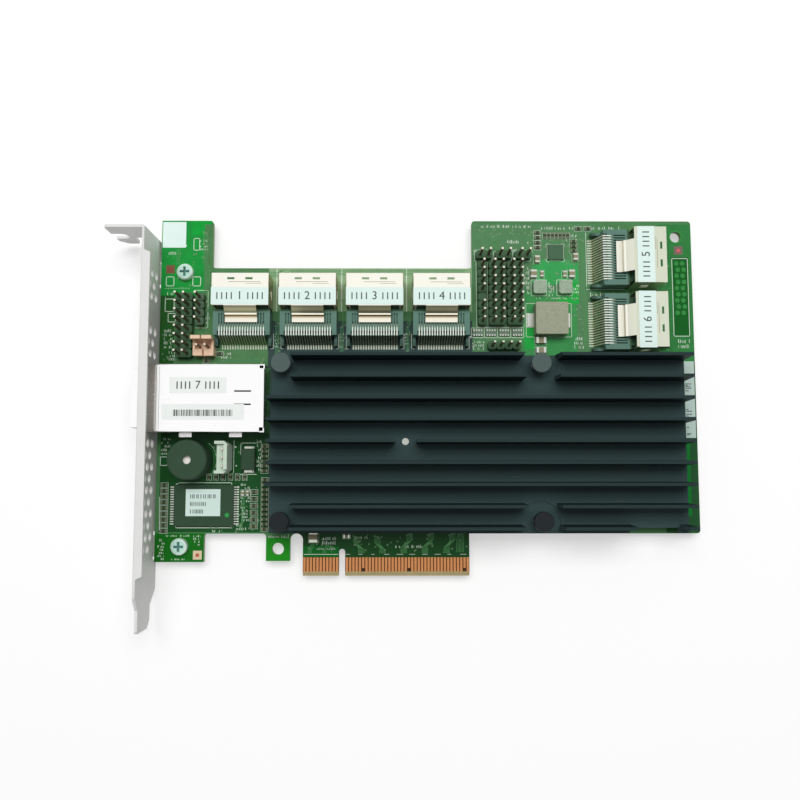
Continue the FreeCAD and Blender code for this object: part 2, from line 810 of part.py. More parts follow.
def sink_chips():
    """Chips under the heat sink: two large ones that it cools, and the memory."""
    middle = (sink_y0 + sink_y1) / 2
    top = face + chip_height
    big = {}
    for name, size, at in (("raid_processor", processor_size, processor_x),
                           ("port_expander", expander_size, expander_x)):
        x = sink_left + at
        half = size / 2
        substrate = box(x - half, x + half, middle - half, middle + half, face + 0.5,
                        face + 1.2)
        inset = 3.0
        lid = round_box(x - half + inset, x + half - inset, middle - half + inset,
                        middle + half - inset, face + 1.2, top, 1.0)
        balls = box(x - half + 1, x + half - 1, middle - half + 1, middle + half - 1,
                    face, face + 0.5)
        big[name] = joined([substrate, lid, balls])
    memory = []
    for dx in memory_x:
        for dy in memory_y:
            x = sink_left + dx
            y = sink_y0 + dy
            memory.append(box(x - memory_size[0] / 2, x + memory_size[0] / 2,
                              y - memory_size[1] / 2, y + memory_size[1] / 2,
                              face, face + memory_height))
    pads = []
    for size, at in ((processor_size, processor_x), (expander_size, expander_x)):
        half = size / 2 - 4.0
        x = sink_left + at
        pads.append(box(x - half, x + half, middle - half, middle + half, top, sink_z0))
    return big, Part.makeCompound(memory), Part.makeCompound(pads)


# ---------------------------------------------------------------- internal ports
def port_rows():
    """The places of the contacts across a port."""
    return [(i - (contact_count - 1) / 2) * contact_pitch for i in range(contact_count)]


def port_contacts():
    """Upper and lower rows of sprung contacts, bent down to the board."""
    mouth = -nose_front - 0.6
    rear = -(port_depth + port_gap + block_length)
    block_front = -(port_depth + port_gap)
    high = block_height - contact_thickness
    half = contact_thickness / 2
    rise_start, rise_end = contact_rise
    upper = [(mouth, slot_high), (block_front - rise_start, slot_high),
             (block_front - rise_end, high), (rear - 0.1, high), (rear - tail_slope, half),
             (rear - tail_reach, half)]
    lower = [(mouth, slot_low), (block_front - 0.6, slot_low),
             (block_front - 1.0, half), (block_front - 2.4, half)]
    rows = port_rows()
    strips = [strip(upper, contact_thickness, contact_width, u) for u in rows]
    strips += [strip(lower, contact_thickness, contact_width, u) for u in rows]
    return Part.makeCompound(strips)


def port_housing(contacts):
    """The moulded body: a block on the board and a nose with the slot in it."""
    front = -(port_depth + port_gap)
    rear = front - block_length
    half = port_width / 2 - 0.05
    block = box(-half, half, rear, front, 0, block_height)
    nose = box(-nose_width / 2, nose_width / 2, front, -nose_front, nose_low, nose_high)
    arms = [box(side * half - (0.9 if side > 0 else 0), side * half + (0 if side > 0 else 0.9),
                rear - tail_reach + 0.7, rear, 0, 2.4) for side in (-1, 1)]
    shape = joined([block, nose] + arms)
    neck = box(-half, half, front, front + port_gap + 0.5, neck_height, nose_high + 0.1)
    gap = (nose_width - contact_count * contact_pitch) / 2 + 0.1
    slot = box(-nose_width / 2 + gap, nose_width / 2 - gap, front + 0.6, -nose_front + 1,
               slot_low, slot_high)
    grooves = [box(u - groove_width / 2, u + groove_width / 2, rear - 1,
                   front - groove_start, block_height - groove_depth, block_height + 1)
               for u in port_rows()]
    ledge = box(-half - 1, half + 1, rear - 1, rear + 1.2, block_height - 1.2,
                block_height + 1)
    grooves.append(ledge.common(box(-7.4, 7.4, rear - 1, rear + 1.2, 0, block_height + 1)))
    return shape.cut([slot, neck] + grooves + [contacts])


def port_cage():
    """The folded metal cage round the mouth, with its latch slots and rear flap."""
    half = port_width / 2
    t = port_sheet
    shell = round_edges(box(-half, half, -port_depth, 0, 0, port_height), 0.5,
                        lambda e: runs_along(e, 1))
    bore = round_edges(box(-half + t, half - t, -port_depth - 1, 1, t, port_height - t), 0.2,
                       lambda e: runs_along(e, 1))
    cuts = [bore]
    for side in (-1, 1):
        u = side * latch_slot_offset
        cuts.append(box(u - latch_slot[0] / 2, u + latch_slot[0] / 2, -2.0,
                        -2.0 + latch_slot[1], port_height - 1, port_height + 1))
        outer = side * (half + 1)
        inner = side * (half - 1)
        cuts.append(box(min(outer, inner), max(outer, inner), -7.0, -4.2, 2.2, 5.2))
    flap_end = -(port_depth + 4.75)
    top = port_height - t / 2
    low = block_height + t / 2 + 0.08
    flap = strip([(-port_depth + 0.6, top), (-port_depth - 0.1, top),
                  (-port_depth - 2.1, low + 0.75), (-port_depth - 2.6, low + 0.75),
                  (-port_depth - 2.9, low + 0.2), (-port_depth - 3.6, low),
                  (flap_end, low)], t, tongue_flap_width, 0)
    shape = joined([shell.cut(cuts), flap])
    return shape


def port_label(turn, x, y):
    """A paper label on top of a cage."""
    w, d = port_label_size
    setback = side_label_setback if turn else port_label_setback
    label = box(-w / 2, w / 2, -setback - d, -setback, port_height,
                port_height + label_thickness)
    return facing(label, turn, x, y)


def internal_ports():
    """Four ports that open past the step and two that open past the far end."""
    contacts = port_contacts()
    housing = port_housing(contacts)
    cage = port_cage()
    labels = []
    places = [(0, x, y) for x, y in top_ports] + [(-90, x, y) for x, y in side_ports]
    for number, (turn, x, y) in enumerate(places, start=1):
        nodes["port_%d_cage" % number] = facing(cage, turn, x, y)
        nodes["port_%d_housing" % number] = facing(housing, turn, x, y)
        nodes["port_%d_contacts" % number] = facing(contacts, turn, x, y)
        labels.append(port_label(turn, x, y))
    nodes["port_labels"] = Part.makeCompound(labels)


# ---------------------------------------------------------------- external port
mouth_v = mouth_reach + sheet + bracket_gap          # mouth, from the board's left edge
gasket_thickness = bracket_gap * 0.9
flange_v = -(mouth_reach + sheet + gasket_thickness)
outer_end_v = -(mouth_v + outer_rear)


def outer_cage():
    """The bright cage of the external port, with its nose through the bracket."""
    t = outer_sheet
    half = outer_width / 2
    body = box(-half, half, outer_end_v, flange_v, 0, outer_height)
    body = round_edges(body, 0.6, lambda e: runs_along(e, 1)
                       and e.BoundBox.ZMin > outer_height - 0.01)
    nose = round_edges(box(-mouth_width / 2, mouth_width / 2, flange_v - 1, 0, mouth_low,
                           mouth_high), 0.6, lambda e: runs_along(e, 1))
    feet = []
    for x in outer_feet_x:
        v = -(mouth_v + x)
        for side in (-1, 1):
            edge = side * half
            end = side * (half + outer_foot[1])
            feet.append(box(min(edge, end), max(edge, end), v - outer_foot[0] / 2,
                            v + outer_foot[0] / 2, 0, t))
    shape = joined([body, nose] + feet)
    inside = box(-half + t, half - t, outer_end_v + t, flange_v - t, t, outer_height - t)
    bore = round_edges(box(-mouth_width / 2 + t, mouth_width / 2 - t, flange_v - 2, 1,
                           mouth_low + t, mouth_high - t), 0.3, lambda e: runs_along(e, 1))
    belly = box(-half + t, half - t, outer_end_v + t, -(mouth_v + 8.0), -1, 1)
    cuts = [inside, bore, belly]
    slit_v = -(mouth_v + outer_slit_x)
    for side in (-1, 1):
        u = side * outer_slit_offset
        cuts.append(box(u - outer_slit[1] / 2, u + outer_slit[1] / 2, slit_v - outer_slit[0],
                        slit_v, outer_height - 1, outer_height + 1))
        inner = side * (half - outer_notch[0])
        outer = side * (half + 1)
        cuts.append(box(min(inner, outer), max(inner, outer), outer_end_v - 1,
                        outer_end_v + outer_notch[1], outer_height - outer_notch[2],
                        outer_height + 1))
    return shape.cut(cuts)


def outer_rows():
    """The places of the external port's contacts."""
    return [(i - (outer_contacts - 1) / 2) * contact_pitch for i in range(outer_contacts)]


def outer_contact_strips():
    """Two rows of contacts, from the slot back and down to the board."""
    mouth = -outer_nose_setback - 0.6
    drop_a = outer_end_v + 9.0
    drop_b = outer_end_v + 14.0
    half = contact_thickness / 2
    middle = (mouth_low + mouth_high) / 2
    gap = (slot_high - slot_low) / 2
    strips = []
    for u in outer_rows():
        strips.append(strip([(mouth, middle + gap), (drop_a, middle + gap),
                             (drop_a - 0.3, half), (drop_a - 2.0, half)],
                            contact_thickness, contact_width, u))
        strips.append(strip([(mouth, middle - gap), (drop_b, middle - gap),
                             (drop_b - 0.3, half), (drop_b - 2.0, half)],
                            contact_thickness, contact_width, u))
    return Part.makeCompound(strips)


def outer_housing(contacts):
    """The moulded body inside the cage, with its nose and slot."""
    t = outer_sheet
    half = outer_width / 2 - t - 0.1
    front = flange_v - 6.0
    block = box(-half, half, outer_end_v + t + 1.8, front, t, outer_height - t - 0.1)
    sole = box(-half, half, outer_end_v + t + 1.8, -(mouth_v + 8.2), 0, t)
    middle = (mouth_low + mouth_high) / 2
    nose = box(-7.4, 7.4, front, -outer_nose_setback, middle - 2.0, middle + 2.0)
    gap = (slot_high - slot_low) / 2
    slot = box(-6.8, 6.8, front + 0.6, -outer_nose_setback + 1, middle - gap, middle + gap)
    return joined([block, sole, nose]).cut([slot, contacts])


def outer_gasket():
    """The soft conductive ring squeezed between the cage and the bracket."""
    w = mouth_width / 2
    v1 = -(mouth_reach + sheet)
    ring = box(-w - gasket_rim, w + gasket_rim, flange_v, v1, mouth_low - 0.5,
               mouth_high + gasket_rim - 0.5)
    bore = round_edges(box(-w, w, flange_v - 1, v1 + 1, mouth_low, mouth_high), 0.6,
                       lambda e: runs_along(e, 1))
    return ring.cut(bore)


def external_port():
    """The external port behind the bracket, its mouth facing away from the board."""
    x = left - mouth_v
    contacts = outer_contact_strips()
    nodes["external_port_cage"] = facing(outer_cage(), 90, x, outer_port_y)
    nodes["external_port_housing"] = facing(outer_housing(contacts), 90, x, outer_port_y)
    nodes["external_port_contacts"] = facing(contacts, 90, x, outer_port_y)
    nodes["external_port_gasket"] = facing(outer_gasket(), 90, x, outer_port_y)
    z0 = face + outer_height
    upper = box(left + 6.4, left + 6.4 + outer_label_a[0], outer_port_y + 1.35,
                outer_port_y + 1.35 + outer_label_a[1], z0, z0 + label_thickness)
    lower = box(left + 4.3, left + 4.3 + outer_label_b[0], outer_port_y - 6.6,
                outer_port_y - 6.6 + outer_label_b[1], z0, z0 + label_thickness)
    nodes["external_port_labels"] = Part.makeCompound([upper, lower])


# ---------------------------------------------------------------- other parts
def buzzer():
    """The round sounder: a case with a sound hole over a pale disc."""
    x = left + buzzer_x
    top = face + buzzer_height
    case = rod(x, buzzer_y, face, top, buzzer_radius)
    case = round_edges(case, 0.5, lambda e: abs(e.BoundBox.ZMin - top) < 1e-6
                       and len(e.Vertexes) == 1)
    hollow = rod(x, buzzer_y, face + 2.0, top - buzzer_wall, buzzer_radius - buzzer_wall)
    hole = rod(x, buzzer_y, top - 2, top + 1, buzzer_sound_hole / 2)
    holes = [rod(px, py, face - 1, face + 2.0, 0.3) for px, py in buzzer_pins()]
    nodes["buzzer_case"] = case.cut([hollow, hole] + holes)
    disc_top = top - buzzer_wall - 0.6
    disc = rod(x, buzzer_y, face + 2.0, disc_top, buzzer_radius - buzzer_wall - 0.1)
    nodes["buzzer_disc"] = disc
    return [rod(px, py, back - pin_below, face + 2.0, 0.3) for px, py in buzzer_pins()]


def fan_connector():
    """The three-pin connector: a floor, a tall locking wall and two lower end walls."""
    x0 = left + fan_x - fan_pin_inset
    x1 = x0 + fan_depth
    y0 = fan_y - fan_length / 2
    y1 = fan_y + fan_length / 2
    inner = x1 - fan_wall
    rim = [(x0, y0), (x1 - fan_bevel, y0), (x1, y0 + fan_bevel), (x1, y1 - fan_bevel),
           (x1 - fan_bevel, y1), (x0, y1), (x0, y1 - fan_end_wall),
           (inner, y1 - fan_end_wall), (inner, y0 + fan_end_wall), (x0, y0 + fan_end_wall)]
    low_walls = prism([(x, y, face) for x, y in rim], (0, 0, fan_end_height))
    tall_wall = box(inner, x1, y0 + fan_bevel, y1 - fan_bevel, face, face + fan_wall_height)
    floor = box(x0 + 0.5, inner, y0 + fan_end_wall, y1 - fan_end_wall, face,
                face + fan_floor)
    half = pin_width / 2
    holes = [box(px - half, px + half, py - half, py + half, face, face + fan_floor)
             for px, py in fan_pins()]
    return joined([floor, low_walls, tall_wall]).cut(holes)


def shrouded_connector():
    """The small cream connector: a floor, a low front and a tall back wall, both slit."""
    w, d = shroud_size
    x0 = shroud_x - w / 2
    y0 = shroud_y - d / 2
    block = round_box(x0, x0 + w, y0, y0 + d, face, face + shroud_height, 0.3)
    front = box(x0 - 1, x0 + w + 1, y0 - 1, y0 + d - shroud_wall,
                face + shroud_front_height, face + shroud_height + 1)
    well = box(x0 + 0.7, x0 + w - 0.7, y0 + shroud_wall * 1.9, y0 + d - shroud_wall,
               face + shroud_floor, face + shroud_height + 1)
    x = shroud_x
    slit = box(x - shroud_slit / 2, x + shroud_slit / 2, y0 - 1, y0 + d + 1,
               face + shroud_floor, face + shroud_height + 1)
    half = pin_width / 2
    holes = [box(px - half, px + half, py - half, py + half, face - 1,
                 face + shroud_floor + 1) for px, py in shroud_pins()]
    return block.cut([front, well, slit] + holes)


def flash_chip():
    """The flash memory chip with its bent leads and its label."""
    x = left + flash_x
    w, d = flash_body
    body = box(x - w / 2, x + w / 2, flash_y - d / 2, flash_y + d / 2, face + 0.1,
               face + flash_height)
    dot = rod(x + w / 2 - 2.0, flash_y - d / 2 + 3.4, face + flash_height - 0.05,
              face + flash_height + 1, 0.7)
    nodes["flash_chip"] = body.cut(dot)
    middle = face + 0.6
    foot = face + 0.08
    path = [(w / 2, middle), (w / 2 + 0.4 * flash_lead, middle),
            (w / 2 + 0.6 * flash_lead, foot), (w / 2 + flash_lead, foot)]
    lead = strip(path, 0.15, 0.34, 0)
    leads = []
    for turn in (90, -90):
        side = lead.copy()
        side.rotate(V(0, 0, 0), V(0, 0, 1), turn)
        for i in range(flash_leads):
            y = flash_y + (i - (flash_leads - 1) / 2) * flash_pitch
            leads.append(moved(side, x, y))
    nodes["flash_chip_leads"] = Part.makeCompound(leads)
    lw, ld = flash_label
    nodes["flash_chip_label"] = box(x - lw / 2 - 0.2, x + lw / 2 - 0.2,
                                    flash_y - ld / 2 + 0.9, flash_y + ld / 2 + 0.9,
                                    face + flash_height, face + flash_height + label_thickness)


def power_diode():
    """The moulded diode beside the fan connector, with its two end tabs."""
    x = left + diode_x
    w, d = diode_size
    low = fan_y + diode_y - d / 2
    high = low + d
    body = box(x - w / 2, x + w / 2, low, high, face, face + diode_height)
    body = body.makeChamfer(0.3, [e for e in body.Edges
                                  if e.BoundBox.ZMin > face + diode_height - 0.01])
    tw, td = diode_tab
    tabs = [box(x - tw / 2, x + tw / 2, high, high + td, face, face + diode_height * 0.55),
            box(x - tw / 2, x + tw / 2, low - td, low, face, face + diode_height * 0.55)]
    return body, tabs


def chokes():
    """The large choke with its two leads, and the two small ones."""
    x = block_left + choke_x
    half = choke_size / 2
    big = round_box(x - half, x + half, choke_mid_y - half, choke_mid_y + half, face + 0.1,
                    face + choke_height, choke_corner)
    lead, width = choke_lead
    y0 = choke_mid_y - width / 2
    y1 = choke_mid_y + width / 2
    tabs = [box(x - half - lead, x - half, y0, y1, face, face + 0.35),
            box(x + half, x + half + 0.6 * lead, y0, y1, face, face + 0.35)]
    nodes["large_choke"] = big
    small = []
    s = small_choke_size / 2
    for at in small_choke_x:
        cx = block_left + at
        body = box(cx - s, cx + s, small_choke_mid_y - s, small_choke_mid_y + s, face,
                   face + small_choke_height)
        small.append(body.makeChamfer(0.5, [e for e in body.Edges if runs_along(e, 2)]))
    nodes["small_chokes"] = Part.makeCompound(small)
    return tabs


def column(x, y, step, count, size):
    """A column of equal small parts, from its lowest place up."""
    return [(x, y + i * step) + size for i in range(count)]


def row(x, y, step, count, size):
    """A row of equal small parts, from its leftmost place on."""
    return [(x + i * step, y) + size for i in range(count)]


def chip_parts():
    """Small soldered parts: (x, y, length along X, length along Y, height)."""
    top = board_height
    low = main_edge_y
    far = block_left
    capacitors = [
        (far + 20.65, top - 12.45, 1.4, 2.1, 1.0), (far + 32.8, top - 11.65, 1.4, 2.1, 1.0),
        (far + 19.4, top - 17.15, 1.9, 2.4, 1.1), (far + 31.5, top - 17.15, 1.7, 2.3, 1.1),
        (far + 22.1, top - 17.15, 1.0, 1.8, 0.8), (far + 29.3, top - 17.15, 1.0, 1.8, 0.8),
        (far + 21.4, top - 38.45, 3.1, 1.9, 1.4), (far + 21.4, top - 41.55, 3.0, 1.7, 1.2),
        (left + 48.7, low - 0.9, 2.5, 3.3, 1.3), (left + 58.8, low - 0.8, 1.8, 1.0, 0.7),
    ]
    flat = (1.7, 0.9, 0.5)
    upright = (0.8, 1.5, 0.5)
    capacitors += row(left + 26.9, low + 12.4, 1.4, 2, (0.8, 1.5, 0.7))
    resistors = [(shroud_x + 4.4, shroud_y - 1.85) + flat,
                 (shroud_x + 0.3, shroud_y - 3.95) + flat,
                 (far + 33.9, top - 2.45) + flat, (far + 36.9, top - 2.45) + flat]
    resistors += column(left + 2.7, low + 0.8, 1.75, 9, flat)
    resistors += column(left + 33.6, low + 1.4, 1.5, 11, flat)
    resistors += column(left + 30.3, low + 2.2, 2.1, 6, flat)
    resistors += column(left + 33.4, low + 19.2, 1.5, 6, flat)
    resistors += row(left + 16.3, fan_low_y - 1.1, 2.2, 6, upright)
    resistors += column(far + 20.9, top - 8.6, 1.6, 4, flat)
    resistors += column(far + 32.3, top - 9.6, 1.5, 3, flat)
    resistors += row(far + 23.3, top - 4.75, 1.2, 7, upright)
    return capacitors, resistors


def small_blocks(places):
    """A group of small soldered blocks."""
    return Part.makeCompound([box(x - a / 2, x + a / 2, y - b / 2, y + b / 2, face, face + h)
                              for x, y, a, b, h in places])


# ---------------------------------------------------------------- build
nodes["circuit_board"] = circuit_board()
nodes["edge_contacts"] = edge_contacts()
nodes["bracket"] = bracket()
nodes["bracket_screws"] = bracket_screws()
nodes["heatsink"] = heatsink()
nodes["heatsink_rivet"] = sink_rivet()
nodes["heatsink_push_pins"] = at_pins(push_pin())
nodes["heatsink_springs"] = at_pins(push_pin_spring())
large_chips, nodes["memory_chips"], nodes["thermal_pads"] = sink_chips()
nodes.update(large_chips)
internal_ports()
external_port()

pins = []
headers = {}
for place in header_places():
    headers.setdefault(place[0], []).append(header_body(place))
    pins += header_pins_of(place)
for name, bodies in headers.items():
    nodes[name] = Part.makeCompound(bodies)
long_pin = square_pin(back - pin_below, face + pin_top)
short_pin = square_pin(back - pin_below, face + fan_pin_top)
all_pins = [moved(long_pin, x, y) for x, y in pins]
all_pins += [moved(short_pin, x, y) for x, y in fan_pins() + shroud_pins()]
nodes["header_pins"] = Part.makeCompound(all_pins)

buzzer_leads = buzzer()
nodes["fan_connector"] = fan_connector()
nodes["shrouded_connector"] = shrouded_connector()
flash_chip()
nodes["power_diode"], diode_tabs = power_diode()
choke_tabs = chokes()
nodes["solder_tabs"] = Part.makeCompound(diode_tabs + choke_tabs + buzzer_leads)
regulator = regulator_size / 2
nodes["regulator_chip"] = box(regulator_at[0] - regulator, regulator_at[0] + regulator,
                              regulator_at[1] - regulator, regulator_at[1] + regulator,
                              face, face + regulator_height)
chip_capacitors, chip_resistors = chip_parts()
nodes["chip_capacitors"] = small_blocks(chip_capacitors)
nodes["chip_resistors"] = small_blocks(chip_resistors)
nodes["resistor_arrays"] = small_blocks(row(block_left + array_x, board_height + array_y,
                                            array_pitch, 4, array_size + (array_height,)))
edge_label_x = right - edge_label_inset - edge_label_size[0]
nodes["edge_label"] = box(edge_label_x, edge_label_x + edge_label_size[0],
                          edge_label_y - edge_label_size[1] / 2,
                          edge_label_y + edge_label_size[1] / 2, face, face + label_thickness)

os.makedirs("parts", exist_ok=True)
for name, shape in nodes.items():
    shape.exportStep("parts/%s.step" % name)
    solids = shape.Solids
    closed = all(s.isValid() and s.isClosed() for s in solids)
    print("%-24s %3d solids  %10.2f mm3  closed %s" % (name, len(solids), shape.Volume, closed))
print(len(nodes), "nodes")
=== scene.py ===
# %% [markdown]
# # A raid controller card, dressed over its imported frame
#
# The frame holds every solid of the card at its real size: board, bracket, heat sink, ports, chips and pins.
# This lesson gives those solids their finishes, and adds what is too thin for a solid of its own: white ink,
# copper tracks under the green mask, solder, plated part ends and the print on the labels.
# Lengths are worked in millimetres and turned to metres when a piece is finished.

import json
import math
import random

import bmesh
import bpy
from mathutils import Matrix, Vector


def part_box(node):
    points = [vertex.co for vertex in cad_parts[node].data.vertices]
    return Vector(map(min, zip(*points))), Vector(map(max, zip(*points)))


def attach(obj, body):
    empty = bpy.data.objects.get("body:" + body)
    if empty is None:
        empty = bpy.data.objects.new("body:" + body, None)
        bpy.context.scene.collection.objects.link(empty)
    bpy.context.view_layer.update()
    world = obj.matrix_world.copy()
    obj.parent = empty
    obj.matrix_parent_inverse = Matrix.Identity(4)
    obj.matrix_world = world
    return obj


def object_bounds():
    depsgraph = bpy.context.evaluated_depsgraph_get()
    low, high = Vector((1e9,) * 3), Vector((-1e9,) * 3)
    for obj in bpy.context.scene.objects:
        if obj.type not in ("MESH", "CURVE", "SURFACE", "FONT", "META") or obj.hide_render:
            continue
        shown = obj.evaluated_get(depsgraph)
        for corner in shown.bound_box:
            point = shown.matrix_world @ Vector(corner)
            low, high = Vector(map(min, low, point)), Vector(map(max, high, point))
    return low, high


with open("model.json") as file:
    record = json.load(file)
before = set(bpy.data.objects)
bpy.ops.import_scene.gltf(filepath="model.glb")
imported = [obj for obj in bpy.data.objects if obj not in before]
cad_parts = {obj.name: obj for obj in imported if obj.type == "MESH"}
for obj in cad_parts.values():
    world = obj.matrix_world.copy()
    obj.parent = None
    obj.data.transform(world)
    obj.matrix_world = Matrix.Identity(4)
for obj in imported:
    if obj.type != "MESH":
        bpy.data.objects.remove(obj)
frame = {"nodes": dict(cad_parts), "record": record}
cad_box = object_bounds()
nodes = frame["nodes"]
MM = 0.001
draw = random.Random(7)
print(len(nodes), "nodes in the frame")

# %% [markdown]
# ## Places
#
# Added pieces take their places from the frame's own nodes or are counted from the board's edges. `span` gives a
# node's box in millimetres. A node that holds many equal solids, such as the chip capacitors, is split into its
# islands, because each one needs its own plated ends and its own ink outline.


# %% Boxes of nodes and of the solids in them
def span(node):
    """A node's box in millimetres: x0, x1, y0, y1, z0, z1."""
    low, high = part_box(node)
    return [v / MM for pair in zip(low, high) for v in pair]


def solids(node):
    """The boxes of the separate solids in a node, in millimetres."""
    work = bmesh.new()
    work.from_mesh(nodes[node].data)
    bmesh.ops.remove_doubles(work, verts=work.verts, dist=1e-6)
    left_over = set(work.verts)
    boxes = []
    while left_over:
        island = [left_over.pop()]
        for vert in island:
            for edge in vert.link_edges:
                other = edge.other_vert(vert)
                if other in left_over:
                    left_over.remove(other)
                    island.append(other)
        boxes.append([pick(v.co[axis] / MM for v in island)
                      for axis in range(3) for pick in (min, max)])
    work.free()
    return sorted(boxes)


LEFT, RIGHT, FOOT, TOP, BACK, FACE = span("circuit_board")
INK = 0.02                  # the thickness of printed ink
PAD_TOP = FACE + 0.04       # the top of a tinned pad
print("board %.2f x %.2f x %.2f mm" % (RIGHT - LEFT, TOP - FOOT, FACE - BACK))


# %% [markdown]
# ## Shapes
#
# Most added pieces are many small bars and discs: printed lines, tracks, pads. Each comes from a bmesh operator
# with its place given as a matrix, so one short helper serves hundreds of copies. `finish_piece` turns the work
# to metres, makes all faces point outwards, gives it its material and lets it ride on the card.


# %% Helpers that make shapes in millimetres
def slab(work, x0, x1, y0, y1, z0=FACE, z1=None):
    """A block between two corners, as thin as ink unless told otherwise."""
    if z1 is None:
        z1 = z0 + INK
    place = Matrix.Translation(((x0 + x1) / 2, (y0 + y1) / 2, (z0 + z1) / 2))
    size = Matrix.Diagonal((x1 - x0, y1 - y0, z1 - z0, 1))
    bmesh.ops.create_cube(work, size=1, matrix=place @ size)


def route(work, points, width, top=FACE + INK):
    """Flat bars on the board, from point to point."""
    for a, b in zip(points, points[1:]):
        run = Vector(b) - Vector(a)
        middle = (Vector(a) + Vector(b)) / 2
        place = Matrix.Translation((middle.x, middle.y, (FACE + top) / 2))
        turn = Matrix.Rotation(math.atan2(run.y, run.x), 4, "Z")
        size = Matrix.Diagonal((run.length + width, width, top - FACE, 1))
        bmesh.ops.create_cube(work, size=1, matrix=place @ turn @ size)


def outline(work, x0, x1, y0, y1, width):
    """A rectangle drawn with four bars."""
    route(work, [(x0, y0), (x1, y0), (x1, y1), (x0, y1), (x0, y0)], width)


def grown(box, left, right, low, high):
    """A box's x0, x1, y0, y1 with its sides moved out."""
    return box[0] - left, box[1] + right, box[2] - low, box[3] + high


def centre(box):
    """The middle of a box, seen from above."""
    return (box[0] + box[1]) / 2, (box[2] + box[3]) / 2


def disc(work, x, y, z0, z1, radius, top_radius=None, segments=16):
    """An upright disc or, with a smaller top, a low cone."""
    place = Matrix.Translation((x, y, (z0 + z1) / 2))
    bmesh.ops.create_cone(work, cap_ends=True, cap_tris=False, segments=segments,
                          radius1=radius, radius2=radius if top_radius is None else top_radius,
                          depth=z1 - z0, matrix=place)


def ring(work, x, y, z0, z1, inner, outer, segments=16):
    """A flat ring: two circles bridged, then extruded up."""
    place = Matrix.Translation((x, y, z0))
    edges = []
    for radius in (inner, outer):
        made = bmesh.ops.create_circle(work, segments=segments, radius=radius, matrix=place)
        edges += {e for v in made["verts"] for e in v.link_edges}
    faces = bmesh.ops.bridge_loops(work, edges=edges)["faces"]
    raised = bmesh.ops.extrude_face_region(work, geom=faces, use_keep_orig=True)
    verts = [g for g in raised["geom"] if isinstance(g, bmesh.types.BMVert)]
    bmesh.ops.translate(work, vec=(0, 0, z1 - z0), verts=verts)


def place_object(name, data):
    """A new object in the scene."""
    thing = bpy.data.objects.new(name, data)
    bpy.context.scene.collection.objects.link(thing)
    return thing


def finish_piece(name, work, material, smooth_angle=None):
    """Turns the work to metres and makes it a piece of the card."""
    bmesh.ops.scale(work, vec=(MM, MM, MM), verts=work.verts)
    bmesh.ops.recalc_face_normals(work, faces=work.faces)
    mesh = bpy.data.meshes.new(name)
    work.to_mesh(mesh)
    work.free()
    mesh.materials.append(material)
    if smooth_angle is not None:
        mesh.shade_smooth()
        mesh.set_sharp_from_angle(angle=math.radians(smooth_angle))
    piece = place_object(name, mesh)
    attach(piece, "root")
    print("%-22s %6d faces" % (name, len(mesh.polygons)))


# %% [markdown]
# ## Finishes
#
# A real surface is never one flat colour. Moulded plastic has a fine matt grain, rolled metal has streaks, pressed
# powder has specks. Those effects are node groups, built once, that put out a colour, a roughness and a height.
# Each material places a group with its own values. The shader itself stays in the material.


# %% Colours
def paint(red, green, blue):
    """A display colour, 0 to 255 a channel, as a linear one."""
    def linear(value):
        value /= 255
        return value / 12.92 if value <= 0.04045 else ((value + 0.055) / 1.055) ** 2.4
    return (linear(red), linear(green), linear(blue), 1)


# %% Node helpers
def feed(tree, socket, value):
    """Links a socket to an input, or sets the input to a constant."""
    if isinstance(value, bpy.types.NodeSocket):
        tree.links.new(value, socket)
    else:
        socket.default_value = value


def feed_all(tree, node, **values):
    """Feeds a node's inputs by name."""
    for label, value in values.items():
        feed(tree, node.inputs[label.replace("_", " ")], value)
    return node


def add_node(tree, kind, **values):
    """A new node with its inputs fed by name."""
    return feed_all(tree, tree.nodes.new("ShaderNode" + kind), **values)


def calc(tree, operation, a, b=None, clamp=False):
    """One Math node; a and b are sockets or numbers."""
    node = tree.nodes.new("ShaderNodeMath")
    node.operation = operation
    node.use_clamp = clamp
    feed(tree, node.inputs[0], a)
    if b is not None:
        feed(tree, node.inputs[1], b)
    return node.outputs[0]


def blend_colour(tree, factor, a, b):
    """A Mix node for colours; each value is a socket or a constant."""
    node = tree.nodes.new("ShaderNodeMix")
    node.data_type = "RGBA"
    for index, value in ((0, factor), (6, a), (7, b)):
        feed(tree, node.inputs[index], value)
    return node.outputs[2]


def noise(tree, vector, scale, detail=2.0, roughness=0.5):
    """A noise texture's value."""
    return add_node(tree, "TexNoise", Vector=vector, Scale=scale, Detail=detail,
                    Roughness=roughness).outputs["Fac"]


def new_group(name, outputs, **defaults):
    """An empty node group: a Vector and other inputs, with their defaults, and outputs."""
    group = bpy.data.node_groups.new(name, "ShaderNodeTree")

    def socket(label, way):
        kind = {"Vector": "NodeSocketVector", "Colour": "NodeSocketColor"}
        return group.interface.new_socket(label, in_out=way,
                                          socket_type=kind.get(label, "NodeSocketFloat"))
    socket("Vector", "INPUT")
    for label, default in defaults.items():
        socket(label.replace("_", " "), "INPUT").default_value = default
    for label in outputs:
        socket(label, "OUTPUT")
    return (group, group.nodes.new("NodeGroupInput").outputs,
            group.nodes.new("NodeGroupOutput").inputs)


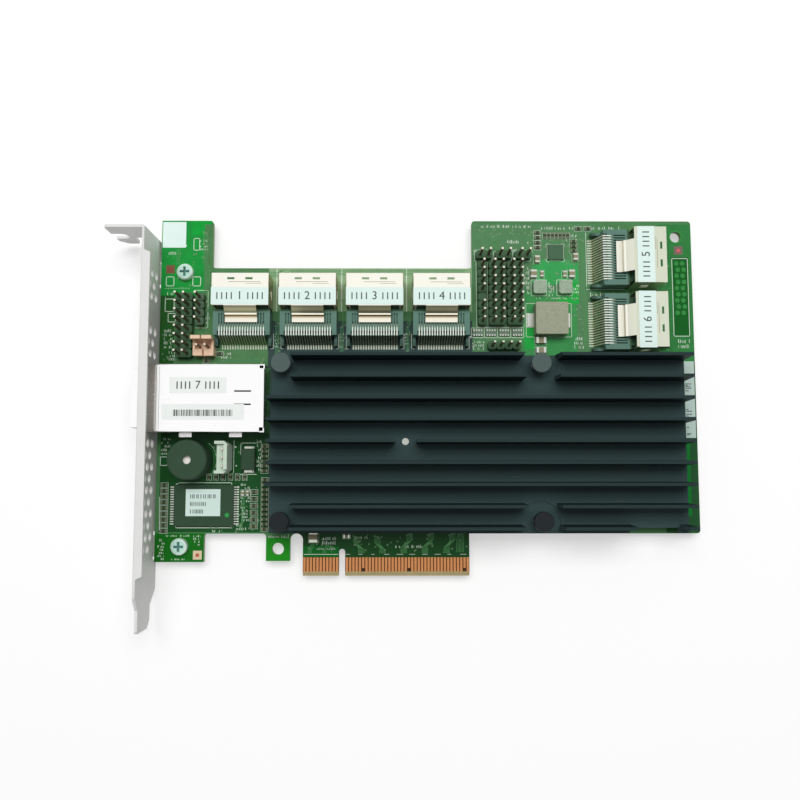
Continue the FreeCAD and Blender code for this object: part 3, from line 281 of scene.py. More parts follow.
# %% The grain group: soft blotches, a fine grain and an uneven sheen
tree, into, out = new_group(
    "surface_grain", ("Colour", "Roughness", "Height"), Colour=(0.5, 0.5, 0.5, 1),
    Variation=0.1, Blotch_Scale=200.0, Grain_Scale=4000.0, Roughness=0.5, Roughness_Spread=0.1)
blotch = noise(tree, into["Vector"], into["Blotch Scale"], 3)
fine = noise(tree, into["Vector"], into["Grain Scale"])
mixed = calc(tree, "ADD", calc(tree, "MULTIPLY", blotch, 0.6), calc(tree, "MULTIPLY", fine, 0.4))
swing = calc(tree, "MULTIPLY", calc(tree, "SUBTRACT", mixed, 0.5), 2.0)
gain = calc(tree, "ADD", calc(tree, "MULTIPLY", swing, into["Variation"]), 1.0)
tint = add_node(tree, "VectorMath")
tint.operation = "SCALE"
feed_all(tree, tint, Vector=into["Colour"], Scale=gain)
sheen = calc(tree, "MULTIPLY", calc(tree, "SUBTRACT", blotch, 0.5), into["Roughness Spread"])
feed(tree, out["Colour"], tint.outputs[0])
feed(tree, out["Roughness"], calc(tree, "ADD", sheen, into["Roughness"], True))
feed(tree, out["Height"], fine)
grain_group = tree
print("surface_grain:", len(tree.nodes), "nodes")

# %% The streak group: lines drawn along X by a die or a rolling mill
tree, into, out = new_group("drawn_streaks", ("Value",), Along=20.0, Across=3000.0)
parts = add_node(tree, "SeparateXYZ", Vector=into["Vector"]).outputs
joined = add_node(tree, "CombineXYZ",
                  **{axis: calc(tree, "MULTIPLY", parts[axis], into[rate])
                     for axis, rate in (("X", "Along"), ("Y", "Across"), ("Z", "Across"))})
feed(tree, out["Value"], noise(tree, joined.outputs[0], 1.0, 3, 0.6))
streak_group = tree
print("drawn_streaks:", len(tree.nodes), "nodes")

# %% The speckle group: dark and pale grains, as in pressed iron powder
tree, into, out = new_group("powder_specks", ("Mask",), Scale=2500.0, Share=0.3)
cells = add_node(tree, "TexVoronoi", Vector=into["Vector"], Scale=into["Scale"])
picked = add_node(tree, "SeparateColor", Color=cells.outputs["Color"])
feed(tree, out["Mask"], calc(tree, "LESS_THAN", picked.outputs[0], into["Share"]))
speckle_group = tree
print("powder_specks:", len(tree.nodes), "nodes")

# %% The zone group: a rectangle on the board
tree, into, out = new_group("board_zone", ("Mask",), X0=0.0, X1=1.0, Y0=0.0, Y1=1.0)
parts = add_node(tree, "SeparateXYZ", Vector=into["Vector"]).outputs
inside = 1.0
for axis, test, bound in (("X", "GREATER_THAN", "X0"), ("X", "LESS_THAN", "X1"),
                          ("Y", "GREATER_THAN", "Y0"), ("Y", "LESS_THAN", "Y1")):
    inside = calc(tree, "MULTIPLY", inside, calc(tree, test, parts[axis], into[bound]))
feed(tree, out["Mask"], inside)
zone_group = tree
print("board_zone:", len(tree.nodes), "nodes")


# %% A blank material with its coordinates, and a place for groups
DULL = 0.12        # the specular level of mask, ink, paper, mould compound and matt nylon


def new_material(name, **sockets):
    """A material with a Principled shader; constants go on the shader's own sockets."""
    material = bpy.data.materials.new(name)
    material.use_nodes = True
    tree = material.node_tree
    shader = feed_all(tree, tree.nodes["Principled BSDF"], **sockets)
    place = tree.nodes.new("ShaderNodeTexCoord").outputs["Object"]
    return material, tree, shader, place


def use_group(tree, group, vector, **values):
    """Places a node group, with numbers, colours or sockets as its inputs."""
    node = tree.nodes.new("ShaderNodeGroup")
    node.node_tree = group
    return feed_all(tree, node, Vector=vector, **values).outputs


def grain(tree, place, colour, variation, blotch, fine, roughness, spread):
    """The grain group's outputs: Colour, Roughness and Height."""
    return use_group(tree, grain_group, place, Colour=colour, Variation=variation,
                     Blotch_Scale=blotch, Grain_Scale=fine, Roughness=roughness,
                     Roughness_Spread=spread)


def dress(tree, shader, colour, roughness, height, distance):
    """Gives the shader its colour, its roughness and a bump; the distance is in metres."""
    raised = add_node(tree, "Bump", Height=height, Distance=distance)
    feed_all(tree, shader, Base_Color=colour, Roughness=roughness, Normal=raised.outputs[0])


def coloured(tree, place, colour):
    """A linear colour from 0 to 255 a channel, or what a function makes of tree and place."""
    return colour(tree, place) if callable(colour) else paint(*colour)


def grained(name, colour, roughness, variation=0.12, blotch=250.0, fine=5000.0,
            spread=0.15, height=2e-6, **sockets):
    """The usual finish: a colour broken up by the grain group."""
    material, tree, shader, place = new_material(name, **sockets)
    made = grain(tree, place, coloured(tree, place, colour), variation, blotch, fine,
                 roughness, spread)
    dress(tree, shader, made["Colour"], made["Roughness"], made["Height"], height)
    return material


def matt(*values, **sockets):
    """A grained finish with hardly any gloss."""
    return grained(*values, Specular_IOR_Level=DULL, **sockets)


def toned(tree, place, tones):
    """A colour that changes along an axis: stops of (millimetres, colour), low to high."""
    axis, stops = tones
    low = stops[0][0]
    high = stops[-1][0]
    spot = add_node(tree, "SeparateXYZ", Vector=place).outputs[axis]
    share = add_node(tree, "MapRange", Value=spot, From_Min=low * MM, From_Max=high * MM)
    scale = add_node(tree, "ValToRGB", Fac=share.outputs["Result"])
    marks = scale.color_ramp.elements
    while len(marks) < len(stops):
        marks.new(0.5)
    for mark, (where, colour) in zip(marks, stops):
        mark.position = (where - low) / (high - low)
        mark.color = paint(*colour)
    return scale.outputs["Color"]


def along(tones):
    """Tones for a material that is still to be made."""
    return lambda tree, place: toned(tree, place, tones)


def facing(tree, axis, least=0.9, both=True):
    """1 where a face looks along an axis (or along both of its directions), else 0."""
    normal = tree.nodes.new("ShaderNodeNewGeometry").outputs["True Normal"]
    value = add_node(tree, "SeparateXYZ", Vector=normal).outputs[axis]
    if both:
        value = calc(tree, "ABSOLUTE", value)
    return calc(tree, "GREATER_THAN", value, least)


# %% [markdown]
# ### Solder mask
#
# The mask is one thin green coat, and what changes is mostly the copper below it. Over a copper pour it shines
# bright green, over bare laminate it is dark, and over the crowded routing between the ports it is a dull mid green.
# Between the port cages a pale band is painted lighter still: painted light against the cages' shadow.
# So the material starts with one green and lays rectangles over it, measured from the board's left edge, bottom
# edge and the edges of the far block. The cut sides of the board show the woven laminate, which is a pale
# yellow green: a face that looks sideways takes that colour.

# %% The board's material
BLOCK = LEFT + 97.95        # where the far block begins
mask_zones = {
    LEFT: [
        (14.5, 97.95, 66, 97, (86, 134, 88)), (0, 4.5, 64, 92, (40, 92, 40)),
        (-1, 13.5, 87, TOP + 1, (30, 150, 62)), (9.5, 15.8, 106.5, TOP + 1, (22, 162, 60)),
        (13.5, 17, 80, 110, (78, 128, 80)), (1.2, 36, 13.2, 43.5, (26, 78, 36)),
        (-1, 15.3, 0, 12.9, (20, 106, 24)), (34, 42, 0, 11.6, (34, 142, 32)),
        (44, 97, -1, 13, (24, 70, 30)), (45, 56.4, 5.8, 9.0, (18, 104, 36)),
        (44, 97, 1.0, 5.6, (66, 44, 30)), (44, 97, -1, 1.3, (180, 165, 120)),
        # The first zone on the next line, the pale band between the port cages, is painted light, lighter than the
        # mask, to offset the cages' shadow.
        (34, 97.95, 82, 97, (148, 180, 138)), (34, 97.95, 64, 79, (60, 80, 78))],
    BLOCK: [
        (0, RIGHT - BLOCK - 30, 67, TOP - 1, (88, 136, 92)),
        (19, 33.8, 90.6, 97.6, (62, 166, 90)), (22, 31, 97.6, 98.6, (62, 166, 90)),
        (15.4, 33, 67, 88.6, (66, 150, 84)), (16.4, 19.4, 70, 79, (40, 172, 70)),
        (27.4, 33.8, 84.5, 91.5, (40, 172, 70))],
    RIGHT: [
        (-10.5, 1, 13, TOP - 1, (52, 128, 66)), (-6.3, -1.0, 74, 99.5, (20, 96, 34)),
        (-10.5, 1, 13, 66, (34, 82, 44)), (-4.2, -2.4, 18, 40.5, (14, 120, 44))],
}


def solder_mask():
    """Green mask over copper and laminate, with laminate at the cut sides."""
    material, tree, shader, place = new_material("solder_mask", Specular_IOR_Level=DULL)
    colour = paint(80, 132, 84)
    for origin, zones in mask_zones.items():
        for x0, x1, y0, y1, shade in zones:
            zone = use_group(tree, zone_group, place, X0=(origin + x0) * MM,
                             X1=(origin + x1) * MM, Y0=y0 * MM, Y1=y1 * MM)
            colour = blend_colour(tree, zone["Mask"], colour, paint(*shade))
    mottled = grain(tree, place, colour, 0.3, 420.0, 2600.0, 0.34, 0.12)
    weave = add_node(tree, "TexWave", Vector=place, Scale=500.0, Distortion=2.0)
    weave.bands_direction = "DIAGONAL"
    laminate = blend_colour(tree, weave.outputs["Fac"], paint(150, 168, 98), paint(92, 142, 70))
    dress(tree, shader, blend_colour(tree, facing(tree, "Z"), laminate, mottled["Colour"]),
          mottled["Roughness"], mottled["Height"], 4e-6)
    return material


board_green = solder_mask()
print("solder_mask:", sum(len(zones) for zones in mask_zones.values()), "zones")

# %% [markdown]
# ### Anodised aluminium
#
# The heat sink was drawn through a die and anodised black. The dye leaves it a blue-black with a soft gloss, and
# the die leaves fine lines along its length. The streak group makes those lines, and they change the roughness
# and the height a little. Light and shade are also painted into the colour: the fin walls, which face along Y, take
# a painted shade, and the base low between the fins is painted lighter than the fin tops to offset the fins' shadow.


# %% The heat sink's material
def streaked(tree, made, streak, share):
    """The grain's roughness, changed a little by the streaks."""
    return calc(tree, "ADD", made["Roughness"],
                calc(tree, "MULTIPLY", calc(tree, "SUBTRACT", streak, 0.5), share), True)


def anodised():
    """Black dye over drawn aluminium, with painted shade on the fin walls and a painted lighter base."""
    material, tree, shader, place = new_material("anodised_black_painted_shade", Specular_IOR_Level=0.06)
    streak = use_group(tree, streak_group, place, Along=14.0, Across=2600.0)["Value"]
    sink_top = span("heatsink")[5]
    # Painted light: the base and the low parts are lighter than the fin tops, to offset the shadow between the fins.
    tones = ("Z", [(FACE, (62, 81, 81)), (sink_top - 1.0, (62, 81, 81)),
                   (sink_top - 0.5, (46, 60, 60)), (sink_top, (46, 60, 60))])
    made = grain(tree, place, toned(tree, place, tones), 0.12, 60.0, 9000.0, 0.42, 0.2)
    colour = blend_colour(tree, calc(tree, "MULTIPLY", streak, 0.4), made["Colour"],
                          paint(38, 52, 52))
    # Painted shade: the fin walls, which face along Y, are painted dark.
    colour = blend_colour(tree, facing(tree, "Y"), colour, paint(20, 32, 33))
    height = calc(tree, "ADD", streak, calc(tree, "MULTIPLY", made["Height"], 0.4))
    dress(tree, shader, colour, streaked(tree, made, streak, 0.25), height, 8e-6)
    return material


# %% [markdown]
# ### Sheet metal
#
# The bracket, the port cages and the springs are rolled and plated. Rolling leaves long streaks, and plating
# leaves faint clouds. One function makes all of them with a different colour, gloss and direction, and on the cages
# it also paints a shade on the walls that face one way.


# %% Rolled and plated sheet
def plated(name, colour, roughness, along=60.0, across=4000.0, height=2e-6, cloud=0.1,
           turned=False, metallic=1.0, painted_wall_shade=None, **sockets):
    """Metal with rolling streaks; turned runs them up Y, and painted_wall_shade paints a shade on the walls facing
    along its axis.
    """
    material, tree, shader, place = new_material(name, Metallic=metallic, **sockets)
    colour = coloured(tree, place, colour)
    # Painted shade: walls that face along the given axis take a darker colour.
    if painted_wall_shade:
        colour = blend_colour(tree, facing(tree, painted_wall_shade[0]), colour, paint(*painted_wall_shade[1]))
    vector = place
    if turned:
        turn = add_node(tree, "Mapping", Vector=place, Rotation=(0, 0, math.radians(90)))
        vector = turn.outputs["Vector"]
    streak = use_group(tree, streak_group, vector, Along=along, Across=across)["Value"]
    made = grain(tree, place, colour, cloud, 140.0, 7000.0, roughness, 0.15)
    dress(tree, shader, made["Colour"], streaked(tree, made, streak, 0.2), streak, height)
    return material


# %% [markdown]
# ### Pressed powder
#
# A choke is iron powder pressed round its coil, so its skin is a grey with dark and pale specks. The specks come
# from cells whose random number is under a share, which keeps them sharp at any distance.


# %% Speckled material
def speckled(name, colour, specks, share, roughness, scale=2400.0):
    """A matt body with specks of a second colour."""
    material, tree, shader, place = new_material(name)
    made = grain(tree, place, paint(*colour), 0.12, 300.0, 6000.0, roughness, 0.15)
    mask = use_group(tree, speckle_group, place, Scale=scale, Share=share)["Mask"]
    dress(tree, shader, blend_colour(tree, mask, made["Colour"], paint(*specks)),
          made["Roughness"], calc(tree, "SUBTRACT", made["Height"], mask), 6e-6)
    return material


# %% [markdown]
# ### Tones along a part
#
# From above, a port is a stair: the cage's roof, a latch that slopes down to a bright lip, dull plastic, contacts in
# their grooves, a dark bend and tinned ends. Each step lies deeper or faces another way, so each is given a tone of
# painted light or shade: a darker slope, a painted highlight on the lip, painted shade in the gap behind the cage,
# in the grooves, on the bend and towards the tails. A ramp of colours along the port's own axis gives them, counted
# from its mouth. Pins, screws and push pins change with height, with the way a face looks or with their place,
# and these changes are painted light and shade as well.

# %% Tones along a port
def port_tones(stops, side=False):
    """Tones from stops of (millimetres behind a port's mouth, colour)."""
    axis, mouth = ("X", span("port_5_cage")[1]) if side else ("Y", span("port_1_cage")[3])
    return along((axis, [(mouth - back, colour) for back, colour in reversed(stops)]))


# Painted light and shade along the latches of ports 1 to 4, and below of ports 5 and 6: the roof, a darker slope, a
# painted highlight on the lip, a painted shade behind it, then paler metal.
flap_stops = [(9.0, (250, 248, 236)), (9.95, (250, 248, 236)), (10.05, (114, 114, 90)),
              (11.0, (172, 170, 136)), (11.85, (118, 116, 92)), (11.95, (255, 252, 231)),
              (12.4, (255, 252, 231)), (12.5, (120, 104, 80)), (12.7, (120, 104, 80)),
              (12.8, (190, 172, 140)), (13.15, (196, 180, 148)), (13.3, (240, 234, 216)),
              (14.6, (250, 246, 232))]
side_flap_stops = [(9.0, (216, 221, 201)), (9.95, (216, 221, 201)), (10.05, (228, 229, 213)),
                   (11.85, (224, 224, 208)), (12.0, (250, 251, 240)),
                   (12.5, (244, 242, 228)), (12.7, (212, 208, 188)),
                   (13.3, (232, 230, 214)), (14.6, (244, 244, 232))]
# Painted shade on the contacts: dark under the cage and in their grooves, bright where they come up, painted dark on
# the bend, then tinned ends.
contact_stops = [(9.0, (60, 66, 50)), (14.8, (72, 82, 64)), (15.1, (150, 166, 146)),
                 (15.8, (160, 176, 156)), (16.2, (232, 240, 226)), (18.5, (240, 244, 232)),
                 (18.7, (214, 212, 188)), (20.6, (178, 180, 154)), (21.1, (180, 190, 168)),
                 (22.2, (206, 218, 196))]
# Painted shade on the port mouldings: darker in the gap behind the cage and darker again towards the tails.
moulding_stops = [(9.0, (74, 104, 80)), (10.95, (70, 98, 74)), (11.1, (102, 136, 123)),
                  (19.4, (98, 131, 119)), (20.4, (72, 96, 84)), (23.0, (60, 84, 72))]
gasket = span("external_port_gasket")
pale = (252, 252, 252)
# Painted shade: the external cage is pale, with a darker band over its neck from the gasket to the body.
outer_neck_shade_tones = ("X", [(gasket[0] - 1, pale), (gasket[0], pale), (gasket[1], (200, 194, 190)),
                     (LEFT + 1.9, (208, 202, 198)), (LEFT + 2.2, pale), (LEFT + 40, pale)])
side_contact_stops = contact_stops[:6] + [
    (18.7, (238, 228, 206)), (20.6, (226, 216, 192)), (21.1, (206, 212, 192)),
    (22.2, (220, 226, 208))]
print(len(flap_stops), "tones along a latch,", len(contact_stops), "along the contacts")


# %% Tones of pins, screws and push pins
def lit_tips_shaded_stems(tree, place):
    """Gold pins with painted light: up-facing tips painted pale as lit, the rest painted dark as shaded stems."""
    return blend_colour(tree, facing(tree, "Z", 0.4, False), paint(104, 76, 50),
                        paint(255, 248, 232))


def zinc_plated(tree, place):
    """Pale zinc, with painted shade darkening the floor of the cross recess."""
    top = span("bracket_screws")[5]
    depth = toned(tree, place, ("Z", [(top - 0.45, (84, 132, 128)), (top - 0.35, (84, 132, 128)),
                                      (top - 0.3, (172, 216, 198)), (top, (188, 228, 212))]))
    return blend_colour(tree, facing(tree, "Z", 0.95), paint(222, 240, 232), depth)


# Painted light on the push pin caps: the lower caps are painted dark as shaded, the upper ones lighter as lit.
half_way = centre(span("heatsink_push_pins"))[1]
cap_shade_tones = ("Y", [(half_way - 1, (34, 39, 41)), (half_way + 1, (84, 100, 97))])


def contact_finish(name, tones):
    """Sprung contacts: bright where they bear, with painted shade in their grooves and on the bend."""
    return grained(name, tones, 0.34, 0.15, 400, 6000, 0.15, Metallic=0.6)


# %% Papers and mouldings
def paper(name, colour, variation=0.04):
    """Label paper."""
    return matt(name, colour, 0.6, variation, 300, 4000, 0.1, 3e-6)


def header_plastic(name, colour):
    """The moulding of a pin header."""
    return matt(name, colour, 0.46, 0.16, 300, 4500, 0.15, 6e-6)


# %% All finishes by name
finishes = {
    "board": board_green,
    "gold": grained("finger_gold", (204, 137, 84), 0.36, 0.2, 500, 6000, 0.2, Metallic=0.7),
    "black_aluminium": anodised(),
    "nickel_sheet": plated("bracket_nickel", (236, 236, 234), 0.6, turned=True, metallic=0.15,
                           Specular_IOR_Level=DULL),
    "zinc_screw": grained("screw_zinc", zinc_plated, 0.4, 0.12, 400, 5000, 0, Metallic=0.4),
    "bright_steel": plated("stud_steel", (198, 203, 195), 0.4, metallic=0.6),
    "dark_nylon": matt("pin_nylon", (78, 95, 91), 0.4, 0.1, 300, 5000, 0.15, 4e-6),
    "spring_steel": plated("spring_wire", (150, 150, 148), 0.3),
    "chip_plastic": matt("chip_mould", (55, 77, 58), 0.5, 0.16, 300, 4500, 0.12, 6e-6),
    "thermal_pad": grained("gap_pad", (150, 160, 178), 0.7),
    "paper_label": paper("label_paper", (234, 253, 247)),
    # The outer cage's walls facing along Y, and the port cages' walls facing along X, take a painted shade.
    "bright_cage": plated("bright_nickel", along(outer_neck_shade_tones), 0.24, 50, 2500, cloud=0.02,
                          painted_wall_shade=("Y", (110, 98, 92))),
    "tin_cage": plated("tin_plate", port_tones(flap_stops), 0.34, turned=True, cloud=0.05,
                       painted_wall_shade=("X", (176, 164, 118))),
    "beige_cage": plated("nickel_plate", port_tones(side_flap_stops, True), 0.34, cloud=0.06),
    "port_moulding": matt("port_plastic", (104, 138, 125), 0.48, 0.14, 300, 5000, 0.15, 5e-6),
    "black_moulding": matt("black_plastic", (24, 26, 26), 0.45),
    "contact_metal": contact_finish("contact_plating", port_tones(contact_stops)),
    "gasket_foam": grained("gasket_cloth", (70, 70, 70), 0.75, 0.3, 600, 3000, 0.1, 2e-5),
    "buzzer_plastic": matt("buzzer_plastic", (56, 78, 60), 0.5, 0.14, 300, 4000, 0.12, 6e-6),
    # The buzzer's disc lies deep in its sound hole; its near white is a painted highlight.
    "buzzer_disc": grained("buzzer_disc", (255, 252, 244), 0.5),
    "white_moulding": matt("white_nylon", (206, 224, 206), 0.42, 0.06, 300, 4000, 0.1, 4e-6),
    "cream_moulding": matt("cream_nylon", (244, 210, 180), 0.45, 0.12, 500, 4000, 0.1, 4e-6),
    "solder": grained("tinned_solder", (214, 218, 208), 0.36, 0.2, 900, 6000, 0.3, 6e-6,
                      Metallic=0.7),
    "ferrite_grey": speckled("pressed_powder", (160, 165, 141), (152, 157, 134), 0.3, 0.6),
    "ferrite_pale": speckled("ground_ferrite", (160, 178, 156), (140, 158, 136), 0.2, 0.5),
    "ceramic_tan": matt("fired_ceramic", (150, 144, 118), 0.45, 0.15, 900, 5000, 0.15, 4e-6),
    "resistor_black": matt("glazed_film", (66, 74, 54), 0.4, 0.3, 900, 5000),
    "header_moulding": header_plastic("header_plastic", (74, 104, 76)),
    "gold_pin": grained("pin_gold", lit_tips_shaded_stems, 0.34, 0.12, 500, 5000, 0, Metallic=0.6),
}
side_contacts = contact_finish("side_contact_plating", port_tones(side_contact_stops, True))
own_finish = {
    "resistor_arrays": matt("array_glaze", (118, 140, 122), 0.4, 0.25, 900, 5000),
    "heatsink_push_pins": matt("push_pin_nylon", along(cap_shade_tones), 0.4, 0.1, 300, 5000, 0.1,
                               4e-6),
    "external_port_labels": paper("grey_paper", (248, 252, 249), 0.03),
    "flash_chip_label": paper("chip_paper", (218, 240, 231)),
    "edge_label": paper("edge_paper", (192, 213, 204)),
    "left_short_header": header_plastic("grey_header", (90, 114, 92)),
    "regulator_chip": matt("grey_mould", (77, 107, 82), 0.5, 0.1, 300, 4500, 0.12, 6e-6),
    "port_5_contacts": side_contacts,
    "port_6_contacts": side_contacts,
}
for side, numbers in ((False, (1, 2, 3, 4)), (True, (5, 6))):
    plastic = matt("port_plastic_" + "YX"[side], port_tones(moulding_stops, side), 0.48, 0.12,
                   300, 5000, 0.1, 5e-6)
    for number in numbers:
        own_finish["port_%d_housing" % number] = plastic
white_ink = matt("white_ink", (222, 238, 220), 0.55, 0.2, 900, 4000, 0.1, 4e-6)
black_ink = matt("black_ink", (74, 84, 82), 0.6, 0.5, 1500, 5000, 0.1)
track_green = matt("masked_copper", (88, 150, 94), 0.32, 0.2, 600, 3000, 0.1, 4e-6)
solder = finishes["solder"]
via_metal = matt("via_ring", (126, 158, 122), 0.4, 0.3, 900, 5000, 0.2, 4e-6)
print(len(finishes), "finishes")

# %% Every frame node takes the finish of its slot
slot_of = {part["node"]: part["material_slot"] for part in frame["record"]["subparts"]}
for name, node in nodes.items():
    node.material_slots[0].material = own_finish.get(name, finishes[slot_of[name]])
print("finished", len(nodes), "nodes")

# %% [markdown]
# ## White ink
#
# The ink is screened on the mask in one pass: frames round the parts, lines between the ports, a square left
# free for a sticker. Each is a very thin bar lying on the board's face. Most frames take their
# places from the parts that they surround, and the rest are counted from the board's left edge. Where the real
# board has words, there are only short strokes of ink, in no alphabet.

# %% Frames and lines in ink
ink = bmesh.new()
FINE = 0.17


def strokes(work, x0, x1, y0, y1, rows, fill=0.62, tall=0.8):
    """Rows of short upright strokes between two corners."""
    pitch = (y1 - y0) / rows
    for row in range(rows):
        low = y0 + row * pitch
        x = x0
        while x < x1 - 0.2:
            wide = draw.uniform(0.16, 0.5)
            if draw.random() < fill:
                high = low + pitch * draw.uniform(0.45, tall)
                slab(work, x, min(x + wide * 0.55, x1), low, high)
                if draw.random() < 0.5:
                    slab(work, x, min(x + wide, x1), low, low + FINE * 0.8)
                if draw.random() < 0.4:
                    slab(work, x, min(x + wide, x1), high - FINE * 0.8, high)
            x += wide + 0.16


def words(places):
    """Rows of strokes at places from the board's left edge."""
    for x0, x1, *rest in places:
        strokes(ink, LEFT + x0, LEFT + x1, *rest)


def at(x, y):
    """A place on the board, from its left edge."""
    return (LEFT + x, y)


for x0, x1, *rest in ((1.65, 4.05, 90.1, 93.0, 0.22), (10.0, 12.45, 90.1, 93.0, 0.22),
                      (2.5, 4.8, 78.6, 81.3, 0.2), (1.5, 4.3, 81.9, 85.9, 0.2),
                      (10.1, 11.9, 101.6, 105.4, 0.2), (38.5, 40.6, 94.0, 94.8, 0.16),
                      (1.2, 3.3, 33.7, 36.3, FINE)):
    outline(ink, LEFT + x0, LEFT + x1, *rest)
short = span("left_short_header")
route(ink, [(short[0] - 1.0, short[3] + 1.3), (short[1] + 0.7, short[3] + 1.3),
            (short[1] + 0.7, short[2] - 0.5), (short[0] - 0.6, short[2] - 0.5)], FINE)
for step in range(10):
    x = 1.4 + 0.8 * step
    route(ink, [at(x, 89.35), at(x + 0.35, 89.35)], 0.12)
for number in (2, 3, 4):
    x = span("port_%d_cage" % number)[0] - 1.8
    route(ink, [(x, 82.1), (x, 95.4)], 0.3)
for number in range(1, 5):
    body = span("port_%d_housing" % number)
    for side, inward in ((body[0] - 0.35, 0.9), (body[1] + 0.35, -0.9)):
        route(ink, [(side, body[2] + 4.2), (side, body[2] - 0.45),
                    (side + inward, body[2] - 0.45)], FINE)
    strokes(ink, body[1] + 0.7, body[1] + 2.0, 70.5, 75.5, 5)
print("frames at the left end")

# %% Ink in the far block
long_rows = span("far_headers")
jumpers = solids("jumper_headers")
outline(ink, long_rows[0] - 0.35, long_rows[1] + 0.45, long_rows[2] - 0.35,
        jumpers[0][2] - 0.2, FINE)
for x in (LEFT + 102.9, LEFT + 108.8):
    route(ink, [(x, long_rows[2]), (x, jumpers[0][3])], 0.14)
for box_ in jumpers:
    outline(ink, *grown(box_, 0.3, 0.3, 0.25, 0.3), 0.14)
for box_ in solids("resistor_arrays"):
    outline(ink, *grown(box_, 0.42, 0.42, 0.75, 0.75), FINE)
spare = [RIGHT - 6.25, RIGHT - 1.3, 74.2, 99.1]
outline(ink, *spare, 0.2)
for box_ in solids("small_chokes"):
    outline(ink, *grown(box_, 0.4, 0.4, 0.4, 0.6), FINE)
    strokes(ink, box_[1] + 0.8, box_[1] + 2.6, box_[2] + 0.4, box_[3] - 0.6, 3)
outline(ink, *grown(span("large_choke"), 2.4, 1.9, 0.3, 0.4), 0.15)
quad = span("regulator_chip")
for x, inward in ((quad[0] - 0.5, 0.8), (quad[1] + 0.5, -0.8)):
    for y, up in ((quad[2] - 0.5, 0.8), (quad[3] + 0.5, -0.8)):
        route(ink, [(x + inward, y), (x, y), (x, y + up)], 0.14)
cage = span("port_6_cage")
route(ink, [(cage[1] + 2.5, 70.2), (cage[1] + 2.5, 109.1)], 0.14)
strokes(ink, RIGHT - 5.0, RIGHT - 0.8, 70.4, 73.6, 2)
tails = span("port_5_housing")[0]
route(ink, [(tails - 1.0, 107.4), (tails - 1.0, 90.2)], 0.15)
route(ink, [(tails - 1.0, 89.1), (LEFT + 146, 89.1)], 0.15)
words(((100, 117.4, 109.0, 110.2, 1), (108.8, 116, 103.9, 105.3, 1),
       (120.2, 130.6, 108.4, 109.8, 1), (136.2, 145.3, 108.4, 109.8, 1),
       (98.6, 103.5, 101.3, 102.4, 1), (110, 117.5, 101.3, 102.4, 1),
       (98.2, 101.8, 69.8, 73.0, 3), (130, 133.2, 70.2, 74.2, 3),
       (114.6, 116.2, 87.5, 97, 6), (134.4, 146, 86.6, 88.6, 1),
       (118.2, 131.5, 86.0, 86.8, 1), (122.2, 124.2, 86.9, 91.8, 4),
       (127.5, 131.6, 104.6, 107.4, 2)))
print("frames in the far block")

# %% Ink round the small parts and near the fingers
flash = span("flash_chip")
route(ink, [(flash[0] + 0.3, flash[3] + 0.2), (flash[0] + 1.3, flash[3] + 0.65),
            (flash[1] - 0.9, flash[3] + 0.65), (flash[1] - 0.9, flash[3] + 0.2)], 0.24)
route(ink, [(flash[0] + 0.4, flash[2] - 0.2), (flash[0] + 0.4, flash[2] - 0.5),
            (flash[1] - 0.8, flash[2] - 0.5), (flash[1] - 0.8, flash[2] - 0.1)], 0.28)
route(ink, [at(1.2, 24.0), at(1.4, 13.9)], 0.16)
x, y = centre(span("buzzer_case"))
turns = [math.radians(angle) for angle in range(-50, 51, 5)]
route(ink, [(x + 0.35 + 6.8 * math.cos(a), y + 6.8 * math.sin(a)) for a in turns], 0.14)
diode = span("power_diode")
route(ink, [(diode[0] - 0.5, 37.1), (diode[0] - 0.5, 40.6), (diode[1] + 0.1, 40.6)], 0.2)
route(ink, [(diode[0] - 0.4, 30.95), (diode[1] + 0.1, 30.95)], 0.2)
fan = span("fan_connector")
route(ink, [(fan[1] + 0.5, fan[2] + 0.2), (fan[1] + 0.5, fan[3] + 0.4)], 0.14)
disc(ink, fan[1] + 1.0, fan[3] - 1.6, FACE, FACE + INK, 0.28)
disc(ink, fan[1] + 1.3, fan[2] + 2.4, FACE, FACE + INK, 0.22)
for box_ in solids("chip_resistors") + solids("chip_capacitors"):
    outline(ink, *grown(box_, 0.32, 0.32, 0.3, 0.3), 0.09)
words(((3.5, 11.6, 11.9, 12.6, 1), (11.9, 14.4, 9.2, 12.6, 4), (1.0, 3.1, 4.8, 11.4, 7),
       (5.2, 9.8, 4.8, 5.4, 1), (34.9, 40.8, 11.5, 12.5, 1, 0.85),
       (51.3, 56.2, 9.5, 12.1, 2, 0.8), (49.4, 56.0, 7.9, 8.7, 1),
       (61.5, 65.5, 11.2, 12.4, 1), (73.8, 82.4, 8.4, 9.6, 1, 0.7)))
route(ink, [at(40.95, 11.5), at(40.95, 12.6)], 0.16)
route(ink, [at(45.9, 6.5), at(56.2, 6.5)], 0.16)
for step in range(10):
    x = 58.6 + 3.9 * step
    route(ink, [at(x, 6.5), at(x + draw.uniform(0.8, 2.2), 6.5)], 0.12)
words(((2.2, 5.2, 100.1, 101.4, 1), (1.4, 4.6, 85.9, 88.4, 2),
       (1.4, 4.4, 70.2, 76.6, 5), (3.0, 5.2, 66.4, 69.6, 3),
       (12.1, 14.6, 101.6, 105.2, 4), (7.6, 9.6, 102.8, 104.0, 1),
       (26.2, 29.6, 22.4, 28.4, 6), (26.2, 28.8, 16.6, 21.4, 5),
       (1.4, 4.4, 37.0, 42.6, 5), (31.0, 32.6, 32.0, 41.8, 8),
       (19.4, 22.6, 67.0, 69.2, 2), (24.9, 28.6, 13.9, 16.2, 2),
       (17.6, 20.2, 13.2, 14.2, 1), (14.4, 15.5, 78.0, 86.0, 6)))
finish_piece("board_ink", ink, white_ink)

